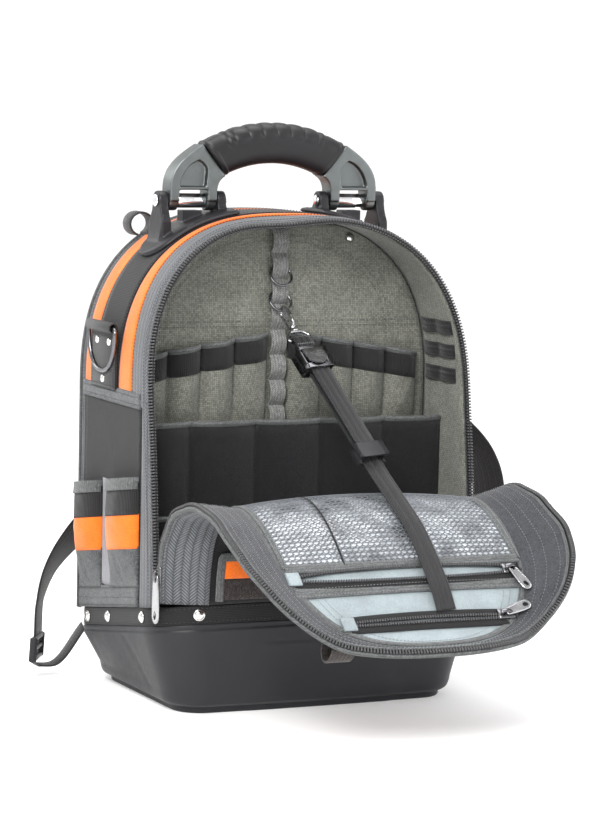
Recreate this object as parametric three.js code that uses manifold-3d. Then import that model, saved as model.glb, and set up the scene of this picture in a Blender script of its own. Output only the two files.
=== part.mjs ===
// Tool backpack with a moulded base, a folding carry handle and its front cover folded down.
// Millimetres, +X to the right seen from the front, +Y to the rear, +Z up.
// The origin is the centre of the underside of the base.
import * as THREE from "three";
import { mergeVertices } from "three/addons/utils/BufferGeometryUtils.js";
import Module from "manifold-3d";

const wasm = await Module();
wasm.setup();

// Driving dimensions
const GAP = 0.3;
const FACET_PLAY = 1.8;
const CLOTH = 3;

// Moulded base
const ARCH_HALF_WIDTH = 166;
const BASE_HALF_WIDTH = 148;
const RIM_HALF_WIDTH = ARCH_HALF_WIDTH + 2;
const BASE_FRONT = -111;
const RIM_FRONT = -117;
const BASE_REAR = 103;
const RIM_REAR = 110;
const BASE_CORNER = 34;
const RIM_CORNER = 42;
const FRONT_BOW = 5;
const FOOT_HEIGHT = 6;
const FOOT_INSET = 9;
const TUB_WALL = 4;
const TUB_FLOOR = 10;
const WALL_FOOT_GROW = 0.12;
const RIM_HEIGHT_FRONT = 104;
const RIM_HEIGHT_REAR = 68;
const BAND_HEIGHT = 17;
const BAND_THICKNESS = 3.6;
const RIVET_RADIUS = 5;
const RIVET_RISE = 2.4;

// Cloth arch
const ARCH_BASE = 290;
const ARCH_RISE = 169;
const ARCH_POWER = 2.5;
const FRONT_EDGE_LOW = -94;
const FRONT_EDGE_TOP = -50;
const FRONT_EDGE_POWER = 1.3;
const REAR_EDGE = 88;
const TOP_SAG = 5;
const TOP_SAG_PLACE = -22;
const TOP_SAG_SPREAD = 42;
const ZIP_WIDTH = 8;
const ZIP_THICKNESS = 4;
const BACK_PAD = 20;

// Bands on the arch
const BAND_FRONT_Y = -4;
const BAND_REAR_Y = 56;
const SPINE_THICKNESS = 2;
const STRIPE_THICKNESS = 1;
const STRIPE_FRONT_WIDTH = 33;
const STRIPE_REAR_WIDTH = 24;

// Handle
const PIN_CLEARANCE = 12;
const PIN_HEIGHT = ARCH_BASE + ARCH_RISE + PIN_CLEARANCE;
const PIN_Y = 28;
const EAR_OUTER = 119;
const EAR_INNER = 50;
const EAR_WIDTH = 9;
const EAR_RADIUS = 9.5;
const EAR_DEPTH = 34;
const LEG_WIDTH = 9.5;
const LEG_RADIUS = 9.5;
const SIDE_PLAY = 1.2;
const PIN_RADIUS = 4;
const TUBE_RADIUS = 7;
const HEAD_RADIUS = 6;
const HEAD_HEIGHT = 2.5;
const SADDLE_THICKNESS = 5;
const SADDLE_FRONT_Y = -3;
const SADDLE_REAR_Y = 55;
const TONGUE_HEIGHT = 415;
const ARM_DEPTH = 22;
const ARM_POCKET = 6;
const GRIP_TOP_HALF = 75.6;
const GRIP_LOW_HALF = 51.1;
const GRIP_LIFT = 24.2;
const GRIP_END_HEIGHT = 30.4;
const GRIP_TOP_ARCH = 20.4;
const GRIP_LOW_ARCH = 11.8;
const GRIP_LOW_CORNER = PIN_HEIGHT + GRIP_LIFT;
const GRIP_TOP_CORNER = GRIP_LOW_CORNER + GRIP_END_HEIGHT;
const HANDLE_TOP = GRIP_TOP_CORNER + GRIP_TOP_ARCH;
const GRIP_DEPTH = 34;
const GRIP_SIDES = 12;
const GRIP_SQUARENESS = 0.75;

// Front cover
const FLAP_REACH = 223;
const FLAP_RISE = 94;
const FLAP_LIFT = 24;
const FLAP_DRIFT = 11;
const FLAP_BORDER = 44;
const END_BORDER = 10;
const FLAP_THICKNESS = 4;
const FLAP_ZIP = 5;
const MESH_BULGE = 8;
const OUTER_POCKET_BULGE = 12;

// Inside
const DIVIDER_Y = 8;
const POCKET_CLOTH = 2;
const UPPER_POCKET_TOP = 344;
const UPPER_POCKET_BOTTOM = 236;
const MIDDLE_ROW_Y = -22;
const MIDDLE_ROW_TOP = 262;
const FRONT_ROW_Y = -56;
const FRONT_ROW_TOP = 178;
const POCKET_BULGE = 16;
const WEBBING_WIDTH = 16;
const INNER_RING_RADIUS = 11;
const INNER_RING_WIRE = 1.3;

// Side pockets and rings
const HEM_HEIGHT = 22;
const SIDE_POCKET_TOP = 122;
const SIDE_POCKET_FRONT = -62;
const SIDE_POCKET_SPLIT_FRONT = 6;
const SIDE_POCKET_SPLIT_REAR = 30;
const SIDE_POCKET_REAR = 86;
const SIDE_POCKET_BULGE = 15;
const RING_TAB_WIDTH = 62;
const RING_TAB_THICKNESS = 1.6;
const RING_TAB_TOP = 356;
const RING_TAB_BOTTOM = 292;
const RING_TAB_Y = 27;
const RING_WIRE = 2.2;
const RING_LENGTH = 42;

// Straps
const STRAP_WIDTH = 20;
const STRAP_THICKNESS = 1.6;
const SHOULDER_WIDTH = 58;
const SHOULDER_THICKNESS = 12;

const COLOURS = {
  tub: [0x2b2c30, 0.55, 0], blackCloth: [0x1c1c1e, 0.9, 0], greyCloth: [0x55585b, 0.9, 0],
  orange: [0xf57a1f, 0.8, 0], blackPlastic: [0x252527, 0.5, 0], zip: [0x161617, 0.6, 0],
  alloy: [0x5e6668, 0.45, 0.6], chrome: [0xc9ccd0, 0.15, 1], rubber: [0x242425, 0.75, 0],
  lightGrey: [0x9aa3a6, 0.85, 0], mesh: [0x8d9498, 0.7, 0], darkMetal: [0x3a3a3d, 0.35, 0.9],
  webbing: [0x202022, 0.9, 0], greyWebbing: [0x6c706f, 0.9, 0],
};

const pack = new THREE.Group();

// General helpers

function lerp(a, b, t) {
  return a + (b - a) * t;
}

function clamp(t) {
  return Math.min(1, Math.max(0, t));
}

function smooth(t) {
  const s = clamp(t);
  return s * s * (3 - 2 * s);
}

function add(name, geometry, colour) {
  const [hex, roughness, metalness] = COLOURS[colour];
  const mesh = new THREE.Mesh(geometry, new THREE.MeshStandardMaterial({ color: hex, roughness, metalness }));
  mesh.name = name;
  pack.add(mesh);
  return mesh;
}

// Turns the faces outward where the point order has them inside out
function closedGeometry(points, faces) {
  let volume = 0;
  for (const [a, b, c] of faces) {
    volume += points[a].dot(new THREE.Vector3().crossVectors(points[b], points[c]));
  }
  const index = faces.flatMap(([a, b, c]) => (volume > 0 ? [a, b, c] : [a, c, b]));
  const geometry = new THREE.BufferGeometry();
  const numbers = points.flatMap((p) => [p.x, p.y, p.z]);
  geometry.setAttribute("position", new THREE.Float32BufferAttribute(numbers, 3));
  geometry.setIndex(index);
  return geometry;
}

// A sheet with two faces, place(across, along, face) giving a point for shares 0 to 1 and face 0 or 1
function slab(acrossSteps, alongSteps, place) {
  const points = [];
  const at = (i, j, k) => (k * (alongSteps + 1) + j) * (acrossSteps + 1) + i;
  for (let k = 0; k < 2; k += 1) {
    for (let j = 0; j <= alongSteps; j += 1) {
      for (let i = 0; i <= acrossSteps; i += 1) {
        points.push(place(i / acrossSteps, j / alongSteps, k));
      }
    }
  }
  const faces = [];
  const quad = (a, b, c, d) => faces.push([a, b, c], [a, c, d]);
  for (let j = 0; j < alongSteps; j += 1) {
    for (let i = 0; i < acrossSteps; i += 1) {
      quad(at(i, j, 1), at(i + 1, j, 1), at(i + 1, j + 1, 1), at(i, j + 1, 1));
      quad(at(i, j, 0), at(i, j + 1, 0), at(i + 1, j + 1, 0), at(i + 1, j, 0));
    }
  }
  for (let i = 0; i < acrossSteps; i += 1) {
    quad(at(i, 0, 0), at(i + 1, 0, 0), at(i + 1, 0, 1), at(i, 0, 1));
    quad(at(i, alongSteps, 0), at(i, alongSteps, 1), at(i + 1, alongSteps, 1), at(i + 1, alongSteps, 0));
  }
  for (let j = 0; j < alongSteps; j += 1) {
    quad(at(0, j, 0), at(0, j, 1), at(0, j + 1, 1), at(0, j + 1, 0));
    quad(at(acrossSteps, j, 0), at(acrossSteps, j + 1, 0), at(acrossSteps, j + 1, 1), at(acrossSteps, j, 1));
  }
  return closedGeometry(points, faces);
}

// A body through rings of equal point counts: capped at both ends, or running back to the first ring
function rings(list, closed) {
  const count = list[0].length;
  const points = list.flat();
  const faces = [];
  const spans = closed ? list.length : list.length - 1;
  for (let r = 0; r < spans; r += 1) {
    const next = (r + 1) % list.length;
    for (let i = 0; i < count; i += 1) {
      const j = (i + 1) % count;
      faces.push([r * count + i, r * count + j, next * count + j]);
      faces.push([r * count + i, next * count + j, next * count + i]);
    }
  }
  if (!closed) {
    for (let i = 1; i < count - 1; i += 1) {
      faces.push([0, i + 1, i]);
      const last = (list.length - 1) * count;
      faces.push([last, last + i, last + i + 1]);
    }
  }
  return closedGeometry(points, faces);
}

// A flat band of even width along a list of points
function ribbon(points, side, width, thickness) {
  const curve = new THREE.CatmullRomCurve3(points, false, "centripetal");
  const steps = (points.length - 1) * 3;
  return slab(1, steps, (across, along, face) => {
    const tangent = curve.getTangent(along);
    const normal = new THREE.Vector3().crossVectors(tangent, side).normalize();
    return curve.getPoint(along)
      .addScaledVector(side, (across - 0.5) * width)
      .addScaledVector(normal, (face - 0.5) * thickness);
  });
}

function box(x0, x1, y0, y1, z0, z1) {
  const geometry = new THREE.BoxGeometry(x1 - x0, y1 - y0, z1 - z0);
  geometry.translate((x0 + x1) / 2, (y0 + y1) / 2, (z0 + z1) / 2);
  return geometry;
}

// A round bar along X
function barX(radius, x0, x1, y, z, sides = 12) {
  const geometry = new THREE.CylinderGeometry(radius, radius, x1 - x0, sides);
  geometry.rotateZ(Math.PI / 2);
  geometry.translate((x0 + x1) / 2, y, z);
  return geometry;
}

function solid(geometry) {
  const bare = geometry.clone();
  bare.deleteAttribute("normal");
  bare.deleteAttribute("uv");
  const merged = mergeVertices(bare, 1e-4);
  return new wasm.Manifold(new wasm.Mesh({
    numProp: 3,
    vertProperties: new Float32Array(merged.attributes.position.array),
    triVerts: new Uint32Array(merged.index.array),
  }));
}

function fromSolid(body) {
  const mesh = body.getMesh();
  const geometry = new THREE.BufferGeometry();
  geometry.setAttribute("position", new THREE.BufferAttribute(new Float32Array(mesh.vertProperties), 3));
  geometry.setIndex(new THREE.BufferAttribute(new Uint32Array(mesh.triVerts), 1));
  return geometry;
}

function mirrored(geometry) {
  const copy = geometry.clone();
  copy.scale(-1, 1, 1);
  const index = copy.index.array.slice();
  for (let i = 0; i < index.length; i += 3) {
    [index[i + 1], index[i + 2]] = [index[i + 2], index[i + 1]];
  }
  copy.setIndex(new THREE.BufferAttribute(index, 1));
  return copy;
}

// Base: the rim plane slopes down to the rear

function rimHeight(y) {
  return lerp(RIM_HEIGHT_FRONT, RIM_HEIGHT_REAR, (y - RIM_FRONT) / (RIM_REAR - RIM_FRONT));
}

function bandFoot(y) {
  return rimHeight(y) - BAND_HEIGHT;
}

const CORNER_STEPS = 4;

// A rounded rectangle in plan, grow 0 at the floor and 1 at the rim, drawn in by inset
function baseRing(grow, inset, heightAt) {
  const halfX = lerp(BASE_HALF_WIDTH, RIM_HALF_WIDTH, grow) - inset;
  const front = lerp(BASE_FRONT, RIM_FRONT, grow) + inset;
  const rear = lerp(BASE_REAR, RIM_REAR, grow) - inset;
  const radius = lerp(BASE_CORNER, RIM_CORNER, grow) - inset;
  const corners = [[-1, -1], [1, -1], [1, 1], [-1, 1]];
  const ring = [];
  corners.forEach(([sx, sy], corner) => {
    const cx = sx * (halfX - radius);
    const cy = sy < 0 ? front + radius : rear - radius;
    for (let i = 0; i <= CORNER_STEPS; i += 1) {
      const angle = Math.PI * (1 + corner / 2 + i / CORNER_STEPS / 2);
      ring.push([cx + radius * Math.cos(angle), cy + radius * Math.sin(angle)]);
    }
    if (sx === sy) {
      [-0.4, 0, 0.4].forEach((share) => ring.push([-sx * share * halfX, sy < 0 ? front : rear]));
    } else {
      for (const share of [-0.3, 0, 0.3]) {
        ring.push([sx * halfX, sx * share * (rear - front) + (front + rear) / 2]);
      }
    }
  });
  return ring.map(([x, y]) => {
    const bow = FRONT_BOW * Math.sqrt(Math.max(0, 1 - (x / halfX) ** 2)) * clamp(y / front) ** 4;
    return new THREE.Vector3(x, y - bow, heightAt(y - bow));
  });
}

function level(height) {
  return () => height;
}

const innerInset = BAND_THICKNESS + GAP + TUB_WALL;
add("base_tub", rings([
  baseRing(0, FOOT_INSET, level(0)),
  baseRing(0, FOOT_INSET, level(FOOT_HEIGHT)),
  baseRing(0, FOOT_INSET * 0.6, level(FOOT_HEIGHT)),
  baseRing(0.03, FOOT_INSET * 0.2, level(FOOT_HEIGHT + 3)),
  baseRing(WALL_FOOT_GROW, 0, level(FOOT_HEIGHT + 12)),
  baseRing(1, 0, (y) => bandFoot(y) - GAP),
  baseRing(1, BAND_THICKNESS + GAP, (y) => bandFoot(y) - GAP),
  baseRing(1, BAND_THICKNESS + GAP, (y) => rimHeight(y) - GAP),
  baseRing(1, innerInset, (y) => rimHeight(y) - GAP),
  baseRing(WALL_FOOT_GROW, innerInset, level(TUB_FLOOR + 8)),
  baseRing(0, innerInset + 8, level(TUB_FLOOR)),
], false), "tub");

add("base_band", rings([
  baseRing(1, 0, bandFoot),
  baseRing(1, 0, rimHeight),
  baseRing(1, BAND_THICKNESS, rimHeight),
  baseRing(1, BAND_THICKNESS, bandFoot),
], true), "webbing");

// Rivets along each side of the band
const RIVET_PLACES = [-73, 12, 64];
const rivetShape = new THREE.LatheGeometry([
  new THREE.Vector2(0, 0), new THREE.Vector2(RIVET_RADIUS, 0),
  new THREE.Vector2(RIVET_RADIUS * 0.8, RIVET_RISE * 0.6), new THREE.Vector2(0, RIVET_RISE),
], 8);
rivetShape.rotateX(Math.PI);
let rivetCount = 0;

function addRivet(x, y, angle) {
  rivetCount += 1;
  const rivet = add(`rivet_${String(rivetCount).padStart(2, "0")}`, rivetShape, "chrome");
  rivet.rotation.z = angle;
  rivet.position.set(x, y, rimHeight(y) - BAND_HEIGHT / 2);
}

for (const place of RIVET_PLACES) {
  addRivet(-RIM_HALF_WIDTH - GAP, place, -Math.PI / 2);
  addRivet(RIM_HALF_WIDTH + GAP, place, Math.PI / 2);
}

// Arch: share -1 is the left foot at the rim, 0 the crown and 1 the right foot

const STRAIGHT = 0.5;
const ARCH_STEPS = 16;

function frontEdge(z) {
  const share = clamp((z - RIM_HEIGHT_FRONT) / (ARCH_BASE + ARCH_RISE - RIM_HEIGHT_FRONT));
  return lerp(FRONT_EDGE_LOW, FRONT_EDGE_TOP, share ** FRONT_EDGE_POWER);
}

function archHeight(share, out) {
  const away = Math.abs(share);
  const foot = rimHeight(0);
  if (away > STRAIGHT) {
    return lerp(ARCH_BASE, foot, (away - STRAIGHT) / (1 - STRAIGHT));
  }
  const turn = (1 - away / STRAIGHT) * Math.PI / 2;
  return ARCH_BASE + (ARCH_RISE + out) * Math.sin(turn) ** (2 / ARCH_POWER);
}

function archPoint(share, y, out) {
  const side = Math.sign(share) || 1;
  const away = Math.abs(share);
  let x = ARCH_HALF_WIDTH + out;
  let z = 0;
  if (away > STRAIGHT) {
    z = lerp(ARCH_BASE, rimHeight(y) + GAP, (away - STRAIGHT) / (1 - STRAIGHT));
  } else {
    const turn = (1 - away / STRAIGHT) * Math.PI / 2;
    x *= Math.max(0, Math.cos(turn)) ** (2 / ARCH_POWER);
    z = archHeight(share, out);
  }
  const nearFront = Math.max(0, (BAND_FRONT_Y - y) / (BAND_FRONT_Y - FRONT_EDGE_TOP));
  const sag = TOP_SAG * nearFront * Math.exp(-(((side * x - TOP_SAG_PLACE) / TOP_SAG_SPREAD) ** 2));
  return new THREE.Vector3(side * x, y, z - (away < STRAIGHT ? sag : 0));
}

// The share of the arch at which its outer face passes a height
function shareAtHeight(z) {
  const turn = Math.asin(clamp((z - ARCH_BASE) / ARCH_RISE) ** (ARCH_POWER / 2));
  return STRAIGHT * (1 - turn / (Math.PI / 2));
}

// A cloth strip over the arch, through lines that each give a depth for a height
function archStrip(end, lines, low, high) {
  return slab(lines.length - 1, Math.round(end * ARCH_STEPS) * 2, (across, along, face) => {
    const share = lerp(-end, end, along);
    const y = lines[Math.round(across * (lines.length - 1))](archHeight(share, 0));
    return archPoint(share, y, face ? high : low);
  });
}

add("shell_wall", archStrip(1, [frontEdge, level(BAND_FRONT_Y), level(REAR_EDGE)], -CLOTH, 0), "greyCloth");
add("zipper_shell", archStrip(1, [(z) => frontEdge(z) - GAP - ZIP_WIDTH, (z) => frontEdge(z) - GAP],
  -ZIP_THICKNESS, 0), "zip");
add("zipper_rear", archStrip(1, [level(REAR_EDGE + GAP), level(REAR_EDGE + GAP + ZIP_WIDTH)],
  -ZIP_THICKNESS, 1), "zip");
add("spine_band", archStrip(STRAIGHT, [level(BAND_FRONT_Y), level(BAND_REAR_Y)],
  GAP, GAP + SPINE_THICKNESS), "webbing");

// The front stripe narrows from its foot to the crown
function stripeFront(z) {
  const share = clamp((z - ARCH_BASE) / ARCH_RISE);
  return BAND_FRONT_Y - GAP - STRIPE_FRONT_WIDTH * (1 - 0.75 * share ** 1.5);
}

add("stripe_front", archStrip(STRAIGHT, [stripeFront, level(BAND_FRONT_Y - GAP)],
  2 * GAP, 2 * GAP + STRIPE_THICKNESS), "orange");
const rearStripe = BAND_REAR_Y + GAP;
add("stripe_rear", archStrip(STRAIGHT, [level(rearStripe), level(rearStripe + STRIPE_REAR_WIDTH)],
  GAP, GAP + STRIPE_THICKNESS), "orange");

// Rear cover: a padded panel with the arch's outline
function archHalfWidth(z, inset) {
  const rise = clamp((z - ARCH_BASE) / (ARCH_RISE - inset));
  return (ARCH_HALF_WIDTH - inset) * Math.max(0, 1 - rise ** ARCH_POWER) ** (1 / ARCH_POWER);
}

// Heights from a foot to the crown, closer together where the outline turns
function outlineHeights(foot, inset, straightSteps, curveSteps) {
  const list = [];
  for (let i = 0; i < straightSteps; i += 1) {
    list.push(lerp(foot, ARCH_BASE, i / straightSteps));
  }
  for (let i = 0; i <= curveSteps; i += 1) {
    const turn = (i / curveSteps) * 84 * Math.PI / 180;
    list.push(ARCH_BASE + (ARCH_RISE - inset) * Math.sin(turn) ** (2 / ARCH_POWER));
  }
  return list;
}

const coverFront = REAR_EDGE + 2 * GAP + ZIP_WIDTH;
const coverHeights = outlineHeights(rimHeight(coverFront) + GAP, 1, 4, 9);
const COVER_INSET = 1;

// The padded face at a share across, -1 to 1, and a share of the height
function coverFace(a, along) {
  const crown = (1 - a ** 4) * Math.sin(Math.PI * clamp((along + 0.06) / 1.12)) ** 0.5;
  return coverFront + BACK_PAD * (0.35 + 0.65 * crown);
}

function coverShare(z) {
  const next = coverHeights.findIndex((height) => height > z);
  const past = (z - coverHeights[next - 1]) / (coverHeights[next] - coverHeights[next - 1]);
  return (next - 1 + past) / (coverHeights.length - 1);
}

add("back_cover", slab(6, coverHeights.length - 1, (across, along, face) => {
  const z = coverHeights[Math.round(along * (coverHeights.length - 1))];
  const a = across * 2 - 1;
  const y = face ? coverFace(a, along) : coverFront;
  return new THREE.Vector3(a * archHalfWidth(z, COVER_INSET), y, Math.max(z, rimHeight(y) + GAP));
}), "blackCloth");

// Divider: an upright panel from the base floor to the crown
const TUB_TOE = TUB_FLOOR + 8;

function tubHalfWidth(z, y) {
  const grow = lerp(WALL_FOOT_GROW, 1, clamp((z - TUB_TOE) / (rimHeight(y) - TUB_TOE)));
  const toe = (RIM_HALF_WIDTH - BASE_HALF_WIDTH) * WALL_FOOT_GROW + 8;
  return lerp(BASE_HALF_WIDTH, RIM_HALF_WIDTH, grow) - innerInset - toe * clamp((TUB_TOE - z) / 8) - 2 * GAP;
}

// The clear half width of the bay at a height and depth
function bayHalfWidth(z, y) {
  const cloth = archHalfWidth(z, CLOTH + GAP);
  return z < rimHeight(y) + 1 ? Math.min(tubHalfWidth(z, y), cloth) : cloth;
}

const dividerHeights = [TUB_FLOOR + GAP, TUB_TOE, rimHeight(DIVIDER_Y),
  ...outlineHeights(rimHeight(DIVIDER_Y) + 12, CLOTH + TOP_SAG, 3, 12)];
add("divider_panel", slab(1, dividerHeights.length - 1, (across, along, face) => {
  const z = dividerHeights[Math.round(along * (dividerHeights.length - 1))];
  const rise = clamp((z - ARCH_BASE) / (ARCH_RISE - CLOTH - TOP_SAG));
  const half = z > ARCH_BASE
    ? (ARCH_HALF_WIDTH - CLOTH - FACET_PLAY) * Math.max(0, 1 - rise ** ARCH_POWER) ** (1 / ARCH_POWER)
    : bayHalfWidth(z, DIVIDER_Y);
  return new THREE.Vector3((across * 2 - 1) * half, DIVIDER_Y + face * CLOTH, z);
}), "greyCloth");

// Inner pockets: a wall of cloth that bows out once for each pocket
function pocketRow(x0, x1, count, bottom, top, wallY, bulge, steps = 4) {
  return slab(count * steps, 3, (across, along, face) => {
    const z = lerp(bottom, top(across), along);
    const half = bayHalfWidth(z, wallY);
    const x = Math.min(half, Math.max(-half, lerp(x0, x1, across)));
    const bow = Math.abs(Math.sin(Math.PI * across * count)) ** 0.7 * Math.sin(along * Math.PI * 0.55);
    return new THREE.Vector3(x, wallY - POCKET_CLOTH * face - bulge * bow, z);
  });
}

const upperWall = DIVIDER_Y - GAP;
const ROW_HALF = RIM_HALF_WIDTH + 2;
add("pocket_row_upper_left", pocketRow(-150, -WEBBING_WIDTH * 0.7, 4, UPPER_POCKET_BOTTOM,
  (a) => UPPER_POCKET_TOP - 22 * (1 - a), upperWall, POCKET_BULGE), "greyCloth");
add("pocket_row_upper_right", pocketRow(WEBBING_WIDTH * 0.7, 150, 4, UPPER_POCKET_BOTTOM,
  (a) => UPPER_POCKET_TOP - 22 * a, upperWall, POCKET_BULGE), "greyCloth");
add("pocket_row_middle", pocketRow(-ROW_HALF, ROW_HALF, 5, TUB_FLOOR + 12, level(MIDDLE_ROW_TOP),
  MIDDLE_ROW_Y, POCKET_BULGE * 0.7), "blackCloth");
add("pocket_row_front", pocketRow(-ROW_HALF, ROW_HALF, 3, TUB_FLOOR + 12, level(FRONT_ROW_TOP),
  FRONT_ROW_Y, POCKET_BULGE * 0.7, 5), "blackCloth");

// Webbing column with loops, its two rings and a stud
const WEBBING_TOP = 446;
const WEBBING_BOTTOM = 226;
const LOOP_PITCH = 24;
const LOOP_DEPTH = 8;
const RING_TILT = 0.6;
const RING_TOP_Y = DIVIDER_Y - 3;
const webbingLoops = Math.round((WEBBING_TOP - WEBBING_BOTTOM) / LOOP_PITCH);
add("webbing_column", slab(1, webbingLoops * 3, (across, along, face) => {
  const wave = Math.abs(Math.sin(Math.PI * along * webbingLoops)) ** 0.8;
  const y = DIVIDER_Y - GAP - LOOP_DEPTH * wave - 1.4 * face;
  return new THREE.Vector3((across - 0.5) * WEBBING_WIDTH, y, lerp(WEBBING_TOP, WEBBING_BOTTOM, along));
}), "greyWebbing");

function loopCentre(number) {
  return WEBBING_TOP - (number - 0.5) * (WEBBING_TOP - WEBBING_BOTTOM) / webbingLoops;
}

function innerRing(loop) {
  const ring = new THREE.TorusGeometry(INNER_RING_RADIUS, INNER_RING_WIRE, 5, 14);
  ring.rotateX(Math.PI / 2 - RING_TILT);
  ring.translate(0, RING_TOP_Y - Math.sin(RING_TILT) * INNER_RING_RADIUS,
    loopCentre(loop) - Math.cos(RING_TILT) * INNER_RING_RADIUS);
  return ring;
}

add("ring_upper", innerRing(2), "darkMetal");
add("ring_lower", innerRing(3), "darkMetal");

// Side pockets: a flat hem above the rim, then a wall that bows out and stays open at the top
function sidePocket(side, y0, y1) {
  const levels = [GAP, HEM_HEIGHT, HEM_HEIGHT + 26, HEM_HEIGHT + 64, SIDE_POCKET_TOP];
  const fullness = [0, 0, 0.75, 1, 0.85];
  return slab(7, levels.length - 1, (across, along, face) => {
    const row = Math.round(along * (levels.length - 1));
    const y = lerp(y0, y1, across);
    const bow = Math.sin(Math.PI * across) ** 0.6 * fullness[row];
    const out = ARCH_HALF_WIDTH + GAP + face * POCKET_CLOTH + SIDE_POCKET_BULGE * bow;
    return new THREE.Vector3(side * out, y, rimHeight(y) + levels[row]);
  });
}

for (const [word, side] of [["left", -1], ["right", 1]]) {
  add(`side_pocket_front_${word}`, sidePocket(side, SIDE_POCKET_FRONT, SIDE_POCKET_SPLIT_FRONT), "greyCloth");
  add(`side_pocket_rear_${word}`, sidePocket(side, SIDE_POCKET_SPLIT_REAR, SIDE_POCKET_REAR), "greyCloth");
}

// Ring tabs: a stitched tab whose top is rolled into a loop round the bar of the ring
const tabFace = ARCH_HALF_WIDTH + GAP + SPINE_THICKNESS + GAP;
const loopRadius = RING_WIRE + RING_TAB_THICKNESS + GAP;
const ringHalfWidth = RING_TAB_WIDTH / 2 + RING_WIRE + 2 * GAP;
const ringBarZ = RING_TAB_TOP - loopRadius;
const ringBarX = tabFace + loopRadius;

function ringTab(side) {
  const outline = new THREE.Shape();
  outline.moveTo(tabFace, RING_TAB_BOTTOM);
  outline.lineTo(tabFace + RING_TAB_THICKNESS, RING_TAB_BOTTOM);
  outline.lineTo(tabFace + RING_TAB_THICKNESS, ringBarZ - loopRadius);
  outline.lineTo(ringBarX, ringBarZ - loopRadius);
  outline.absarc(ringBarX, ringBarZ, loopRadius, -Math.PI / 2, Math.PI * 0.5, false);
  outline.lineTo(tabFace, RING_TAB_TOP);
  outline.closePath();
  const bore = new THREE.Path();
  bore.absarc(ringBarX, ringBarZ, RING_WIRE + GAP, 0, Math.PI * 2, true);
  outline.holes.push(bore);
  const settings = { depth: RING_TAB_WIDTH, bevelEnabled: false, curveSegments: 6 };
  const geometry = new THREE.ExtrudeGeometry(outline, settings);
  geometry.rotateX(Math.PI / 2);
  geometry.translate(0, RING_TAB_Y + RING_TAB_WIDTH / 2, 0);
  const whole = mergeVertices(strip(geometry), 1e-4);
  return side > 0 ? whole : mirrored(whole);
}

function strip(geometry) {
  const bare = geometry.clone();
  bare.deleteAttribute("normal");
  bare.deleteAttribute("uv");
  return bare;
}

// The ring hangs from its straight bar
function dRing() {
  const bow = new THREE.CurvePath();
  const left = new THREE.Vector3(0, -ringHalfWidth, 0);
  const right = new THREE.Vector3(0, ringHalfWidth, 0);
  bow.add(new THREE.LineCurve3(left, right));
  bow.add(new THREE.CubicBezierCurve3(right, new THREE.Vector3(0, ringHalfWidth, -RING_LENGTH * 0.7),
    new THREE.Vector3(0, ringHalfWidth * 0.6, -RING_LENGTH), new THREE.Vector3(0, 0, -RING_LENGTH)));
  bow.add(new THREE.CubicBezierCurve3(new THREE.Vector3(0, 0, -RING_LENGTH),
    new THREE.Vector3(0, -ringHalfWidth * 0.6, -RING_LENGTH),
    new THREE.Vector3(0, -ringHalfWidth, -RING_LENGTH * 0.7), left));
  const list = [];
  const steps = 20;
  for (let i = 0; i < steps; i += 1) {
    const centre = bow.getPointAt(i / steps);
    const before = bow.getPointAt(((i + steps - 0.3) / steps) % 1);
    const after = bow.getPointAt(((i + 0.3) / steps) % 1);
    const tangent = after.sub(before).normalize();
    const outward = new THREE.Vector3(1, 0, 0);
    const sideways = new THREE.Vector3().crossVectors(tangent, outward).normalize();
    const ring = [];
    for (let k = 0; k < 4; k += 1) {
      const angle = k / 4 * Math.PI * 2;
      ring.push(centre.clone().addScaledVector(outward, Math.cos(angle) * RING_WIRE)
        .addScaledVector(sideways, Math.sin(angle) * RING_WIRE));
    }
    list.push(ring);
  }
  return rings(list, true);
}

for (const [word, side] of [["left", -1], ["right", 1]]) {
  add(`ring_tab_${word}`, ringTab(side), "webbing");
  const ring = add(`d_ring_${word}`, dRing(), "darkMetal");
  ring.position.set(side * ringBarX, RING_TAB_Y, ringBarZ);
}

// Handle
function earOutline() {
  const shape = new THREE.Shape();
  const foot = ARCH_BASE + 120;
  shape.moveTo(PIN_Y - EAR_DEPTH / 2, foot);
  shape.lineTo(PIN_Y - EAR_DEPTH / 2, PIN_HEIGHT - EAR_RADIUS * 2);
  shape.quadraticCurveTo(PIN_Y - EAR_RADIUS, PIN_HEIGHT - EAR_RADIUS, PIN_Y - EAR_RADIUS, PIN_HEIGHT);
  shape.absarc(PIN_Y, PIN_HEIGHT, EAR_RADIUS, Math.PI, 0, true);
  shape.quadraticCurveTo(PIN_Y + EAR_RADIUS, PIN_HEIGHT - EAR_RADIUS, PIN_Y + EAR_DEPTH / 2,
    PIN_HEIGHT - EAR_RADIUS * 2);
  shape.lineTo(PIN_Y + EAR_DEPTH / 2, foot);
  shape.closePath();
  return shape;
}

// A shape drawn in Y and Z, thickened along X
function acrossX(shape, x0, x1) {
  const settings = { depth: x1 - x0, bevelEnabled: false, curveSegments: 5 };
  const geometry = new THREE.ExtrudeGeometry(shape, settings);
  geometry.rotateY(Math.PI / 2);
  geometry.rotateX(Math.PI / 2);
  geometry.translate(x0, 0, 0);
  return geometry;
}

// A shape drawn in X and Z, thickened along Y
function acrossY(shape, y0, y1) {
  const settings = { depth: y1 - y0, bevelEnabled: false, curveSegments: 6 };
  const geometry = new THREE.ExtrudeGeometry(shape, settings);
  geometry.rotateX(Math.PI / 2);
  geometry.translate(0, y1, 0);
  return geometry;
}

const saddleBottom = GAP + SPINE_THICKNESS + GAP;

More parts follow.
